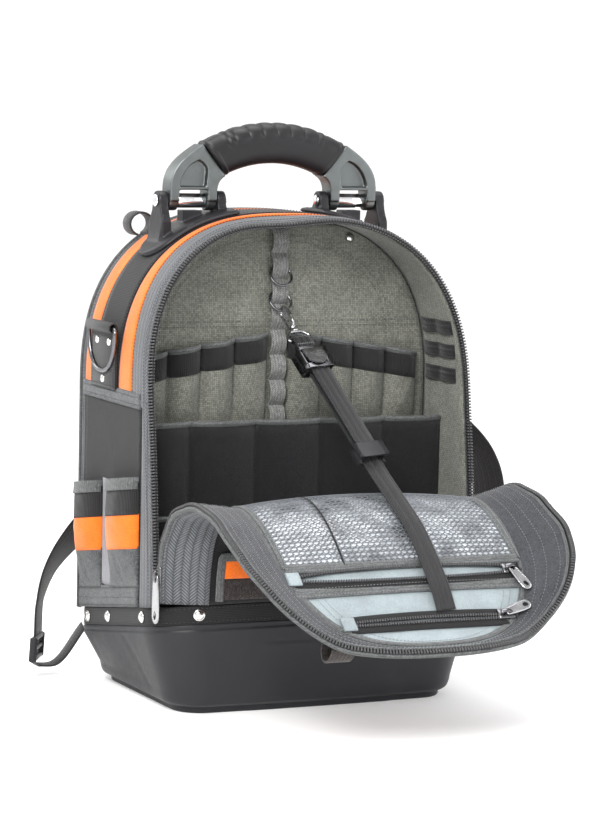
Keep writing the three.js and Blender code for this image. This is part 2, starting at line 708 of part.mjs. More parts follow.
function bracket() {
  const inner = STRAIGHT * (1 - Math.acos((EAR_INNER / ARCH_HALF_WIDTH) ** (ARCH_POWER / 2)) / (Math.PI / 2));
  const tip = shareAtHeight(TONGUE_HEIGHT);
  const middle = (SADDLE_FRONT_Y + SADDLE_REAR_Y) / 2;
  const saddle = slab(4, 8, (across, along, face) => {
    const share = lerp(inner, tip, along);
    const round = Math.sqrt(Math.max(0.05, 1 - clamp((along - 0.72) / 0.28) ** 2));
    const y = middle + (across - 0.5) * (SADDLE_REAR_Y - SADDLE_FRONT_Y) * round;
    return archPoint(share, y, saddleBottom + face * SADDLE_THICKNESS);
  });
  const under = slab(1, 15, (across, along, face) => {
    const share = lerp(0, STRAIGHT * 15 / 16, along);
    const y = lerp(SADDLE_FRONT_Y - 20, SADDLE_REAR_Y + 20, across);
    return archPoint(share, y, face ? saddleBottom : -80);
  });
  let body = solid(saddle);
  const ears = [[EAR_INNER, EAR_INNER + EAR_WIDTH], [EAR_OUTER - EAR_WIDTH, EAR_OUTER]];
  for (const [x0, x1] of ears) {
    body = body.add(solid(acrossX(earOutline(), x0, x1)));
  }
  const stop = box(EAR_INNER + EAR_WIDTH + 16, EAR_OUTER - EAR_WIDTH - 16, PIN_Y - 8, PIN_Y + 8,
    ARCH_BASE + 120, PIN_HEIGHT - TUBE_RADIUS - 2);
  body = body.add(solid(stop));
  body = body.subtract(solid(under));
  body = body.subtract(solid(barX(PIN_RADIUS + GAP, 0, 200, PIN_Y, PIN_HEIGHT)));
  return fromSolid(body);
}

const legOuter = EAR_OUTER - EAR_WIDTH - SIDE_PLAY;
const legInner = EAR_INNER + EAR_WIDTH + SIDE_PLAY;

function pin() {
  const head = EAR_OUTER + GAP;
  const headIn = EAR_INNER - GAP;
  const tubeFrom = legInner + LEG_WIDTH + GAP;
  const tubeTo = legOuter - LEG_WIDTH - GAP;
  const profile = [
    [0, headIn - HEAD_HEIGHT], [HEAD_RADIUS, headIn - HEAD_HEIGHT],
    [HEAD_RADIUS, headIn], [PIN_RADIUS, headIn],
    [PIN_RADIUS, tubeFrom], [TUBE_RADIUS, tubeFrom], [TUBE_RADIUS, tubeTo], [PIN_RADIUS, tubeTo],
    [PIN_RADIUS, head], [HEAD_RADIUS, head], [HEAD_RADIUS, head + HEAD_HEIGHT * 0.6],
    [HEAD_RADIUS * 0.6, head + HEAD_HEIGHT], [0, head + HEAD_HEIGHT],
  ].map(([radius, along]) => new THREE.Vector2(radius, along));
  const geometry = new THREE.LatheGeometry(profile, 10);
  geometry.rotateZ(-Math.PI / 2);
  geometry.translate(0, PIN_Y, PIN_HEIGHT);
  return geometry;
}

// The grip's top and bottom edges are arcs through a corner and a middle height
function arcHeight(x, half, corner, rise) {
  const radius = (half * half + rise * rise) / (2 * rise);
  return corner + rise - radius + Math.sqrt(radius * radius - x * x);
}

function gripSection(t, grow) {
  const topHeight = arcHeight(GRIP_TOP_HALF * t, GRIP_TOP_HALF, GRIP_TOP_CORNER, GRIP_TOP_ARCH);
  const lowHeight = arcHeight(GRIP_LOW_HALF * t, GRIP_LOW_HALF, GRIP_LOW_CORNER, GRIP_LOW_ARCH);
  const top = new THREE.Vector3(GRIP_TOP_HALF * t, PIN_Y, topHeight);
  const low = new THREE.Vector3(GRIP_LOW_HALF * t, PIN_Y, lowHeight);
  const centre = top.clone().add(low).multiplyScalar(0.5);
  const up = top.sub(low).multiplyScalar(0.5);
  up.setLength(up.length() + grow);
  const ring = [];
  for (let i = 0; i < GRIP_SIDES; i += 1) {
    const angle = i / GRIP_SIDES * Math.PI * 2;
    const c = Math.sign(Math.cos(angle)) * Math.abs(Math.cos(angle)) ** GRIP_SQUARENESS;
    const s = Math.sign(Math.sin(angle)) * Math.abs(Math.sin(angle)) ** GRIP_SQUARENESS;
    const deep = new THREE.Vector3(0, c * (GRIP_DEPTH / 2 + grow), 0);
    ring.push(centre.clone().addScaledVector(up, s).add(deep));
  }
  return ring;
}

function grip() {
  const list = [];
  const steps = 10;
  for (let i = 0; i <= steps; i += 1) {
    const t = i / steps * 2 - 1;
    const flare = Math.abs(t) === 1 ? -1.5 : 0;
    list.push(gripSection(t, flare));
  }
  return rings(list, false);
}

const ARM_STRAIGHT = 14;
const ARM_BEND = 20;
const ARM_SHOULDER_OUT = 16.1;
const ARM_SHOULDER_DROP = 10.3;
const ARM_INNER_DROP = 3.9;
const POCKET_FROM_TOP = 14.3;
const POCKET_FROM_SIDE = 13.8;
const POCKET_ROUNDING = 6;

// One arm: two legs round the pin, curving up to the end face of the grip
function arm() {
  const faceTop = new THREE.Vector2(GRIP_TOP_HALF + GAP, GRIP_TOP_CORNER - GAP);
  const faceLow = new THREE.Vector2(GRIP_LOW_HALF + GAP, GRIP_LOW_CORNER - GAP);
  const foot = PIN_HEIGHT - LEG_RADIUS;
  const crook = PIN_HEIGHT + LEG_RADIUS + 1;
  const shape = new THREE.Shape();
  shape.moveTo(legOuter, foot);
  shape.lineTo(legOuter, PIN_HEIGHT + ARM_STRAIGHT);
  const shoulder = new THREE.Vector2(faceTop.x + ARM_SHOULDER_OUT, faceTop.y - ARM_SHOULDER_DROP);
  const bend = PIN_HEIGHT + ARM_STRAIGHT + ARM_BEND;
  shape.bezierCurveTo(legOuter - 1, bend, shoulder.x, shoulder.y, faceTop.x, faceTop.y);
  shape.lineTo(faceLow.x, faceLow.y);
  shape.quadraticCurveTo(legInner, faceLow.y - ARM_INNER_DROP, legInner, PIN_HEIGHT + LEG_RADIUS - 1.5);
  shape.lineTo(legInner, foot);
  shape.closePath();
  let body = solid(acrossY(shape, PIN_Y - ARM_DEPTH / 2, PIN_Y + ARM_DEPTH / 2));
  const round = solid(barX(LEG_RADIUS, 0, 200, PIN_Y, PIN_HEIGHT, 20));
  const upperFoot = PIN_HEIGHT + LEG_RADIUS / 2;
  const upper = solid(box(0, 200, PIN_Y - ARM_DEPTH, PIN_Y + ARM_DEPTH, upperFoot, HANDLE_TOP));
  body = body.intersect(round.add(upper));
  body = body.subtract(solid(box(legInner + LEG_WIDTH, legOuter - LEG_WIDTH, PIN_Y - ARM_DEPTH,
    PIN_Y + ARM_DEPTH, foot - 5, crook)));
  const pocketTop = new THREE.Vector2(faceTop.x + 2.1, faceTop.y - POCKET_FROM_TOP);
  const pocketSide = pocketTop.y - POCKET_ROUNDING;
  const pocket = new THREE.Shape();
  pocket.moveTo(legInner + LEG_WIDTH + 2, crook);
  pocket.lineTo(legOuter - LEG_WIDTH, crook);
  pocket.quadraticCurveTo(legOuter - POCKET_FROM_SIDE, pocketSide, pocketTop.x, pocketTop.y);
  pocket.quadraticCurveTo(pocketTop.x - 10, pocketSide, legInner + LEG_WIDTH + GAP, faceLow.y + 3.1);
  pocket.closePath();
  for (const side of [-1, 1]) {
    const face = PIN_Y + side * ARM_DEPTH / 2;
    const y0 = Math.min(face - side * ARM_POCKET, face + side);
    const y1 = Math.max(face - side * ARM_POCKET, face + side);
    body = body.subtract(solid(acrossY(pocket, y0, y1)));
  }
  body = body.subtract(solid(barX(PIN_RADIUS + GAP, 0, 200, PIN_Y, PIN_HEIGHT)));
  return fromSolid(body);
}

const bracketShape = bracket();
const armShape = arm();
const pinShape = mergeVertices(strip(pin()), 1e-4);
add("handle_bracket_right", bracketShape, "blackPlastic");
add("handle_bracket_left", mirrored(bracketShape), "blackPlastic");
add("handle_pin_right", pinShape, "chrome");
add("handle_pin_left", mirrored(pinShape), "chrome");
add("handle_arm_right", armShape, "alloy");
add("handle_arm_left", mirrored(armShape), "alloy");
add("handle_grip", grip(), "rubber");

// Front cover, folded down
// Shares: out of the reach, up of the rise, left and right of the border's lift, drift of the sideways drift
const FLAP_SECTIONS = [
  { out: 0.00, up: 0.01, left: 0.56, right: 0.56, drift: 0.0 },
  { out: 0.01, up: 0.28, left: 0.70, right: 0.70, drift: 0.0 },
  { out: 0.02, up: 0.52, left: 0.75, right: 0.75, drift: 0.1 },
  { out: 0.06, up: 0.81, left: 0.50, right: 0.58, drift: 0.3 },
  { out: 0.15, up: 0.98, left: 0.21, right: 0.42, drift: 0.5 },
  { out: 0.27, up: 1.00, left: 0.25, right: 0.58, drift: 0.7 },
  { out: 0.43, up: 0.84, left: 0.50, right: 0.92, drift: 0.9 },
  { out: 0.60, up: 0.56, left: 0.67, right: 1.33, drift: 1.0 },
  { out: 0.73, up: 0.30, left: 0.83, right: 1.50, drift: 1.0 },
  { out: 0.87, up: 0.01, left: 1.00, right: 1.33, drift: 1.0 },
  { out: 1.00, up: -0.14, left: 0.83, right: 0.92, drift: 1.0 },
];
const FLAP_FACE = RIM_FRONT;
const FLAP_RUN = ARCH_BASE + ARCH_RISE - RIM_HEIGHT_FRONT;
const FLAP_STRAIGHT = ARCH_BASE - RIM_HEIGHT_FRONT;
const flapPath = new THREE.CatmullRomCurve3(FLAP_SECTIONS.map((row) => new THREE.Vector3(0,
  FLAP_FACE - FLAP_REACH * row.out, RIM_HEIGHT_FRONT + FLAP_RISE * row.up + 1)), false, "centripetal");
flapPath.arcLengthDivisions = 400;

function flapColumn(name, t) {
  const place = clamp(t) * (FLAP_SECTIONS.length - 1);
  const row = Math.min(FLAP_SECTIONS.length - 2, Math.floor(place));
  return lerp(FLAP_SECTIONS[row][name], FLAP_SECTIONS[row + 1][name], smooth(place - row));
}

// 0 on the centre line and 1 on the cover's outline drawn in at the sides and the end, in its flat form
function outlineShare(u, v, sideInset, endInset) {
  const side = Math.abs(u) / (ARCH_HALF_WIDTH - sideInset);
  const end = Math.max(0, v - FLAP_STRAIGHT) / (ARCH_RISE - endInset);
  return (side ** ARCH_POWER + end ** ARCH_POWER) ** (1 / ARCH_POWER);
}

// The border turns up from its inner edge to the outline, and less toward the middle of the far end
const LIFT_FROM = ARCH_HALF_WIDTH - 86;

function borderRaise(u, v) {
  const past = Math.max(0, outlineShare(u, v, FLAP_BORDER, END_BORDER) - 1);
  const left = Math.max(0, 1 - outlineShare(u, v, 0, 0));
  const side = smooth((Math.abs(u) - LIFT_FROM) / (ARCH_HALF_WIDTH - LIFT_FROM));
  return past > 0 ? side * past / (past + left) : 0;
}

// u across and v along the flat cover, w above its inner face
function flapPoint(u, v, w) {
  const share = clamp(v / FLAP_RUN);
  const t = flapPath.getUtoTmapping(share);
  const centre = flapPath.getPoint(t);
  const tangent = flapPath.getTangent(t);
  const normal = new THREE.Vector3(0, tangent.z, -tangent.y);
  const mix = clamp(u / ARCH_HALF_WIDTH + 0.5);
  const lift = FLAP_LIFT * borderRaise(u, v) * lerp(flapColumn("left", t), flapColumn("right", t), mix);
  const beyond = Math.max(0, v - FLAP_RUN);
  return centre.addScaledVector(normal, lift + w).addScaledVector(tangent, beyond)
    .add(new THREE.Vector3(u + FLAP_DRIFT * flapColumn("drift", t), 0, 0));
}

// A point of the outline drawn in at the sides and the end, a from -1 on the left foot to 1 on the right
function outlinePoint(a, sideInset, endInset) {
  const side = Math.sign(a) || 1;
  const half = ARCH_HALF_WIDTH - sideInset;
  if (Math.abs(a) > STRAIGHT) {
    return [side * half, FLAP_STRAIGHT * (1 - Math.abs(a)) / (1 - STRAIGHT)];
  }
  const turn = (1 - Math.abs(a) / STRAIGHT) * Math.PI / 2;
  return [side * half * Math.max(0, Math.cos(turn)) ** (2 / ARCH_POWER),
    FLAP_STRAIGHT + (ARCH_RISE - endInset) * Math.sin(turn) ** (2 / ARCH_POWER)];
}

const FLAP_STEPS = 15;
add("flap_panel", slab(4, FLAP_STEPS, (across, along, face) => {
  const a = 1 - along * FLAP_STEPS / (FLAP_STEPS + 1);
  const [half, v] = outlinePoint(a, FLAP_BORDER + 2 * GAP, END_BORDER + 2 * GAP);
  return flapPoint((across * 2 - 1) * half, v, -FLAP_THICKNESS * face);
}), "lightGrey");

function flapRim(inner, outer, steps) {
  return slab(steps, FLAP_STEPS * 2 + 2, (across, along, face) => {
    const sideInset = lerp(inner[0], outer[0], across);
    const [u, v] = outlinePoint(along * 2 - 1, sideInset, lerp(inner[1], outer[1], across));
    return flapPoint(u, v, -FLAP_THICKNESS * face);
  });
}

add("flap_border", flapRim([FLAP_BORDER, END_BORDER], [FLAP_ZIP + GAP, FLAP_ZIP + GAP], 2), "greyCloth");
add("zipper_flap", flapRim([FLAP_ZIP, FLAP_ZIP], [0, 0], 1), "zip");

// A pocket's fullness from its sewn edge, 0, to its open one, 1
function meshBow(along) {
  return Math.sin(Math.PI * clamp(along * 0.62)) ** 0.8;
}

// A cloth piece on the cover's inner or outer face
function flapPatch(u0, u1, v0, v1, low, high, bulge, steps = [6, 8]) {
  return slab(steps[0], steps[1], (across, along, face) => {
    const bow = Math.sin(Math.PI * across) ** 0.7 * meshBow(along);
    return flapPoint(lerp(u0, u1, across), lerp(v1, v0, along), (face ? high : low) + bulge * bow);
  });
}

const PATCH_GAP = 1.2;
const FLAP_ZIP_THICKNESS = 3;
const MESH_HALF = ARCH_HALF_WIDTH - 49;
const MESH_TOP = 98;
const MESH_BOTTOM = 236;
const MESH_THICKNESS = 1.2;
add("mesh_pocket", flapPatch(-MESH_HALF, MESH_HALF, MESH_TOP, MESH_BOTTOM, PATCH_GAP,
  PATCH_GAP + MESH_THICKNESS, MESH_BULGE), "mesh");
add("flap_zip_upper", flapPatch(-MESH_HALF + 4, MESH_HALF - 4, MESH_BOTTOM + 4, MESH_BOTTOM + 24,
  2 * GAP, 2 * GAP + FLAP_ZIP_THICKNESS, 0, [8, 1]), "zip");
add("flap_zip_lower", flapPatch(-MESH_HALF + 39, MESH_HALF - 35, MESH_BOTTOM + 66, MESH_BOTTOM + 79,
  2 * GAP, 2 * GAP + FLAP_ZIP_THICKNESS, 0, [8, 1]), "zip");
const outerFace = -FLAP_THICKNESS - PATCH_GAP - GAP;
add("flap_outer_pocket", flapPatch(-MESH_HALF + 5, MESH_HALF - 5, 226, 4,
  outerFace, outerFace - POCKET_CLOTH, -OUTER_POCKET_BULGE, [6, 9]), "blackCloth");

// Support strap: from the lower inner ring to the lower zip of the cover, taut
const ringFoot = new THREE.Vector3(0, RING_TOP_Y - 2 * Math.sin(RING_TILT) * INNER_RING_RADIUS,
  loopCentre(3) - 2 * Math.cos(RING_TILT) * INNER_RING_RADIUS);
const STRAP_END_V = 297;
const STRAP_U = 23;
const STRAP_CLEAR = FLAP_ZIP_THICKNESS + 2 * STRAP_THICKNESS;

// The strap's height above the cover where it crosses the mesh pocket or the upper zip
function strapRise(v) {
  const along = (MESH_BOTTOM - v) / (MESH_BOTTOM - MESH_TOP);
  return PATCH_GAP + STRAP_CLEAR + (along > 0 ? MESH_BULGE * meshBow(along) : 0);
}

// The taut line touches the cover where it lies flattest
let contactV = 0;
let flattest = -Infinity;
for (let v = MESH_TOP; v <= STRAP_END_V - 40; v += 2) {
  const line = flapPoint(STRAP_U, v, strapRise(v)).sub(ringFoot);
  const slope = line.z / -line.y;
  if (slope > flattest) {
    flattest = slope;
    contactV = v;
  }
}
const contact = flapPoint(STRAP_U, contactV, strapRise(contactV));
const strapAlong = contact.clone().sub(ringFoot).normalize();
const strapSide = new THREE.Vector3(1, 0, 0).addScaledVector(strapAlong, -strapAlong.x).normalize();
const strapUp = new THREE.Vector3().crossVectors(strapAlong, strapSide);

// A point a distance along the strap's line, across it and above it
function strapPoint(along, across, above) {
  return ringFoot.clone().addScaledVector(strapAlong, along).addScaledVector(strapSide, across)
    .addScaledVector(strapUp, above);
}

// A closed wire through points that lie in a plane
function wireLoop(points, planeNormal, radius, sides = 5) {
  const count = points.length;
  return rings(points.map((centre, i) => {
    const tangent = points[(i + 1) % count].clone().sub(points[(i + count - 1) % count]).normalize();
    const outward = new THREE.Vector3().crossVectors(tangent, planeNormal).normalize();
    return Array.from({ length: sides }, (_, k) => centre.clone()
      .addScaledVector(outward, Math.cos(k / sides * Math.PI * 2) * radius)
      .addScaledVector(planeNormal, Math.sin(k / sides * Math.PI * 2) * radius));
  }), true);
}

// A long round-ended loop, place giving a point for a distance along and a distance aside
function ovalPoints(from, to, half, place, arcSteps = 5) {
  const points = [];
  for (const [centre, turn] of [[to - half, 0], [from + half, Math.PI]]) {
    for (let i = 0; i <= arcSteps; i += 1) {
      const angle = turn - Math.PI / 2 + i / arcSteps * Math.PI;
      points.push(place(centre + Math.cos(angle) * half, Math.sin(angle) * half));
    }
  }
  return points;
}

// A block in the strap's own directions
function strapBlock(from, to, half, low, high) {
  return slab(1, 1, (across, along, face) => strapPoint(lerp(from, to, along), (across * 2 - 1) * half,
    lerp(low, high, face)));
}

const HOOK_WIRE = 1.5;
const HOOK_LENGTH = 26;
const HOOK_HALF = 6;
const BARREL_LENGTH = 8;
const BARREL_HALF = 3.2;
const FRAME_LENGTH = 12;
const hookStart = -(INNER_RING_WIRE + 2 * GAP + HOOK_WIRE);
const hookEnd = hookStart + HOOK_LENGTH;
const frameStart = hookEnd + BARREL_LENGTH - HOOK_WIRE;
const frameBar = frameStart + FRAME_LENGTH;
const hookLoop = solid(wireLoop(ovalPoints(hookStart, hookEnd, HOOK_HALF, (a, b) => strapPoint(a, 0, b)),
  strapSide, HOOK_WIRE));
const frameHalf = STRAP_WIDTH / 2 + HOOK_WIRE + 2 * GAP;
const frameLoop = solid(wireLoop([
  strapPoint(frameStart, -frameHalf * 0.5, 0), strapPoint(frameStart, frameHalf * 0.5, 0),
  strapPoint(frameStart + FRAME_LENGTH / 2, frameHalf, 0), strapPoint(frameBar, frameHalf, 0),
  strapPoint(frameBar, -frameHalf, 0), strapPoint(frameStart + FRAME_LENGTH / 2, -frameHalf, 0),
], strapUp, HOOK_WIRE));
const barrel = solid(strapBlock(hookEnd - HOOK_WIRE, frameStart + HOOK_WIRE / 2, BARREL_HALF,
  -BARREL_HALF, BARREL_HALF));
add("strap_hook", fromSolid(hookLoop.add(frameLoop).add(barrel)), "darkMetal");

// The strap turns round the frame's bar and lies double as far as its keeper
const foldHeight = HOOK_WIRE + 3 * GAP + STRAP_THICKNESS / 2;
const BUCKLE_FROM = 56;
const BUCKLE_TO = 84;
const KEEPER_FROM = 184;
const KEEPER_TO = 202;
const strapLength = contact.distanceTo(ringFoot);
const foldPoints = [-90, -45, 0, 45, 90].map((degrees) => {
  const angle = degrees * Math.PI / 180;
  return strapPoint(frameBar - Math.cos(angle) * foldHeight, 0, -Math.sin(angle) * foldHeight);
});
add("support_strap", ribbon([
  strapPoint(KEEPER_TO - 4, 0, foldHeight), strapPoint(120, 0, foldHeight),
  strapPoint(frameBar + 8, 0, foldHeight),
  ...foldPoints,
  strapPoint(frameBar + 8, 0, -foldHeight), strapPoint(120, 0, -foldHeight), strapPoint(200, 0, -foldHeight),
  strapPoint(strapLength - 60, 0, -foldHeight * 0.5), contact,
  flapPoint(STRAP_U, STRAP_END_V - 28, strapRise(STRAP_END_V)),
  flapPoint(STRAP_U, STRAP_END_V, PATCH_GAP + STRAP_THICKNESS),
], strapSide, STRAP_WIDTH, STRAP_THICKNESS), "webbing");

function strapSleeve(from, to, wall, extra) {
  const hole = foldHeight + STRAP_THICKNESS / 2 + GAP;
  const half = STRAP_WIDTH / 2 + GAP;
  const body = solid(strapBlock(from, to, half + wall, -hole - wall, hole + wall + extra));
  return fromSolid(body.subtract(solid(strapBlock(from - 1, to + 1, half, -hole, hole))));
}

add("strap_buckle", strapSleeve(BUCKLE_FROM, BUCKLE_TO, 2.5, 2), "darkMetal");
add("strap_keeper", strapSleeve(KEEPER_FROM, KEEPER_TO, 1.6, 0), "blackPlastic");

// Pulls: flat plates with a hole, hung from a small eye at their top
const PULL_WIDTH = 12;
const PULL_THICKNESS = 2;

function pullPlate(length, width) {
  const outline = new THREE.Shape();
  outline.moveTo(-width * 0.3, 0);
  outline.lineTo(-width / 2, -length * 0.6);
  outline.lineTo(-width / 2, -length + width / 2);
  outline.absarc(0, -length + width / 2, width / 2, Math.PI, Math.PI * 2, false);
  outline.lineTo(width * 0.3, 0);
  outline.closePath();
  const hole = new THREE.Path();
  hole.absellipse(0, -length + width / 2 + 1, width * 0.26, width * 0.34, 0, Math.PI * 2, true);
  outline.holes.push(hole);
  const settings = { depth: PULL_THICKNESS, bevelEnabled: false, curveSegments: 6 };
  const geometry = new THREE.ExtrudeGeometry(outline, settings);
  geometry.translate(0, 0, -PULL_THICKNESS / 2);
  return geometry;
}

const MAIN_PULL_LENGTH = 44;
const MAIN_PULL_Y = RIM_FRONT + 13;
const MAIN_PULL_Z = RIM_HEIGHT_FRONT + 28;
const mainPull = add("main_pull", pullPlate(MAIN_PULL_LENGTH, PULL_WIDTH), "chrome");
mainPull.rotation.set(Math.PI / 2, Math.PI / 2, 0);
mainPull.position.set(-(ARCH_HALF_WIDTH + GAP + PULL_THICKNESS / 2), MAIN_PULL_Y, MAIN_PULL_Z);

const FLAP_PULL_LENGTH = 28;
const PULL_RISE = 5.8;

function flapPull(name, u, v, turn) {
  const plate = add(name, pullPlate(FLAP_PULL_LENGTH, PULL_WIDTH * 0.75), "chrome");
  const place = flapPoint(u, v, PULL_RISE);
  const ahead = flapPoint(u, v + 4, PULL_RISE).sub(place).normalize();
  const aside = flapPoint(u + 4, v, PULL_RISE).sub(place).normalize();
  const direction = ahead.clone().multiplyScalar(Math.cos(turn));
  direction.addScaledVector(aside, Math.sin(turn)).normalize();
  const normal = new THREE.Vector3().crossVectors(ahead, aside).normalize();
  const across = new THREE.Vector3().crossVectors(direction, normal).normalize();
  const back = direction.clone().negate();
  plate.setRotationFromMatrix(new THREE.Matrix4().makeBasis(across, back, across.clone().cross(back)));
  plate.position.copy(place);
}

const UPPER_PULL = { u: MESH_HALF - 13, v: MESH_BOTTOM + 14, turn: Math.PI * 0.1 };
const LOWER_PULL = { u: MESH_HALF - 37, v: MESH_BOTTOM + 70, turn: Math.PI * 0.6 };
flapPull("flap_pull_upper", UPPER_PULL.u, UPPER_PULL.v, UPPER_PULL.turn);
flapPull("flap_pull_lower", LOWER_PULL.u, LOWER_PULL.v, LOWER_PULL.turn);

// Loop of webbing under the far edge of the cover
const LOOP_RADIUS = 9;
const LOOP_DROP = 20;
const LOOP_PLACE = 322;
add("flap_loop", slab(1, 8, (across, along, face) => {
  const angle = along * Math.PI;
  const grow = face * STRAP_THICKNESS;
  const u = lerp(-MESH_HALF + 17, -MESH_HALF + 41, across);
  return flapPoint(u, LOOP_PLACE - Math.cos(angle) * (LOOP_RADIUS + grow),
    -FLAP_THICKNESS - 2 * GAP - Math.sin(angle) * (LOOP_DROP + grow));
}), "webbing");

// Shoulder straps: a padded part on the rear cover, then webbing out to a buckle and back to the base
const padFace = coverFront + BACK_PAD + GAP;
// x is measured on an arch of the half width DRAWN_HALF_WIDTH, and follows the arch
const DRAWN_HALF_WIDTH = 166;
const SHOULDER_SECTIONS = {
  left: [
    { x: 48, y: 5.6, z: 424, width: 1, thick: 1, turn: 0 },
    { x: 58, y: 6.6, z: 360, width: 1, thick: 1, turn: 0 },
    { x: 74, y: 6, z: 270, width: 1, thick: 1, turn: 0 },
    { x: 92, y: 4, z: 205, width: 0.9, thick: 0.6, turn: 5 },
    { x: 122, y: 4, z: 168, width: 0.66, thick: 0.2, turn: 15 },
    { x: 160, y: 6, z: 138, width: 0.66, thick: 0.17, turn: 35 },
    { x: 186, y: 2, z: 108, width: 0.66, thick: 0.17, turn: 50 },
    { x: 198, y: 0, z: 76, width: 0.66, thick: 0.17, turn: 60 },
    { x: 200, y: 0, z: 42, width: 0.66, thick: 0.17, turn: 60 },
  ],
  right: [
    { x: 48, y: 5.6, z: 424, width: 1, thick: 1, turn: 0 },
    { x: 60, y: 6.6, z: 380, width: 1, thick: 1, turn: 0 },
    { x: 84, y: 6, z: 320, width: 1, thick: 1, turn: 0 },
    { x: 120, y: 4, z: 286, width: 0.9, thick: 0.6, turn: 0 },
    { x: 172, y: -6, z: 272, width: 0.66, thick: 0.17, turn: 20 },
    { x: 222, y: -40, z: 246, width: 0.66, thick: 0.17, turn: 45 },
    { x: 256, y: -60, z: 206, width: 0.66, thick: 0.17, turn: 60 },
    { x: 266, y: -55, z: 150, width: 0.66, thick: 0.17, turn: 60 },
    { x: 244, y: -30, z: 88, width: 0.66, thick: 0.17, turn: 60 },
    { x: 214, y: -6, z: 46, width: 0.66, thick: 0.17, turn: 60 },
  ],
};

// The strap's centre at a share of its length, with its directions along, across and through
function shoulderFrame(side, rows, along) {
  const spread = side * ARCH_HALF_WIDTH / DRAWN_HALF_WIDTH;
  const points = rows.map((row) => new THREE.Vector3(spread * row.x, padFace + row.y, row.z));
  const path = new THREE.CatmullRomCurve3(points, false, "centripetal");
  const spans = rows.length - 1;
  const row = Math.min(spans - 1, Math.floor(along * spans));
  const column = (name) => lerp(rows[row][name], rows[row + 1][name], along * spans - row);
  const tangent = path.getTangent(along);
  const turn = column("turn") * Math.PI / 180;
  const level = new THREE.Vector3(0, 1, 0).cross(tangent).normalize();
  const flat = new THREE.Vector3().crossVectors(tangent, level).normalize();
  const wide = level.clone().multiplyScalar(Math.cos(turn)).addScaledVector(flat, side * Math.sin(turn));
  const thin = new THREE.Vector3().crossVectors(tangent, wide).normalize();
  const centre = path.getPoint(along);
  return { centre, tangent, wide, thin, width: column("width"), thick: column("thick") };
}

function shoulderStrap(side, rows) {
  return slab(2, (rows.length - 1) * 2, (across, along, face) => {
    const frame = shoulderFrame(side, rows, along);
    return frame.centre.addScaledVector(frame.wide, (across - 0.5) * SHOULDER_WIDTH * frame.width)
      .addScaledVector(frame.thin, (face - 0.5) * SHOULDER_THICKNESS * frame.thick);
  });
}

const YOKE_HALF = 76;
const YOKE_DEPTH = 14;
const YOKE_BOTTOM = 432;
const YOKE_TOP = 450;
const yokeFace = coverFace(0, coverShare(YOKE_BOTTOM)) + 2 * GAP;
add("strap_yoke", slab(4, 3, (across, along, face) => {
  const round = Math.sin(Math.PI * lerp(0.2, 0.8, along));
  return new THREE.Vector3((across * 2 - 1) * YOKE_HALF, yokeFace + face * YOKE_DEPTH * round,
    lerp(YOKE_BOTTOM, YOKE_TOP, along));
}), "webbing");

// Each strap ends in a buckle, and a short anchor webbing leads from it to the corner of the base
const BUCKLE_HALF = 24;
const BUCKLE_HEIGHT = 26;
const BUCKLE_THICKNESS = 9;
const ANCHOR_WIDTH = 18;
const ANCHOR_REACH = 20;
const ANCHOR_END = new THREE.Vector3(RIM_HALF_WIDTH - 9.4, RIM_REAR - 8.4, 50);
for (const [word, side] of [["left", -1], ["right", 1]]) {
  const rows = SHOULDER_SECTIONS[word];
  add(`shoulder_strap_${word}`, shoulderStrap(side, rows), "webbing");
  const end = shoulderFrame(side, rows, 1);
  const place = (along, across, through) => end.centre.clone().addScaledVector(end.tangent, along)
    .addScaledVector(end.wide, across).addScaledVector(end.thin, through);
  add(`shoulder_buckle_${word}`, slab(1, 1, (across, along, face) => place(GAP + along * BUCKLE_HEIGHT,
    (across * 2 - 1) * BUCKLE_HALF, (face - 0.5) * BUCKLE_THICKNESS)), "blackPlastic");
  const target = ANCHOR_END.clone().multiply(new THREE.Vector3(side, 1, 1));
  const start = place(BUCKLE_HEIGHT + 3 * STRAP_THICKNESS, 0, 0);
  const inward = start.clone().add(new THREE.Vector3(-side * ANCHOR_REACH, 0, 1));
  add(`shoulder_anchor_${word}`, ribbon([start, inward, target], new THREE.Vector3(0, 1, 0),
    ANCHOR_WIDTH, STRAP_THICKNESS), "webbing");
}

export default pack;
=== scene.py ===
"""The looks of the tool backpack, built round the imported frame. Shapes are drawn in millimetres."""
import math

import bmesh
import bpy
import numpy as np
from mathutils import Matrix, Vector
from mathutils.geometry import tessellate_polygon


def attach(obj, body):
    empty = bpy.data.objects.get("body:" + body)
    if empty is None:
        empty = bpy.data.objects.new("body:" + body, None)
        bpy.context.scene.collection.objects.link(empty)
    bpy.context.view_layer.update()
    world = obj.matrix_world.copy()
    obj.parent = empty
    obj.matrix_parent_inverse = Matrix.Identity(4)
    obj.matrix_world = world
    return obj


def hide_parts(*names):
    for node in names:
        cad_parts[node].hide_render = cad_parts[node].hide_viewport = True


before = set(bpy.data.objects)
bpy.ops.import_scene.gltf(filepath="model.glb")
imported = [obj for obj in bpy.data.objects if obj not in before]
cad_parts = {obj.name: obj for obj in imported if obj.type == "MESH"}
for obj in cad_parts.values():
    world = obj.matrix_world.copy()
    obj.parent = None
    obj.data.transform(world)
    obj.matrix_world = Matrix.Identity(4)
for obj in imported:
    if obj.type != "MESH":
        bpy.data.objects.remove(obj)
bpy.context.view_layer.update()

MM = 0.001
GAP = 0.3

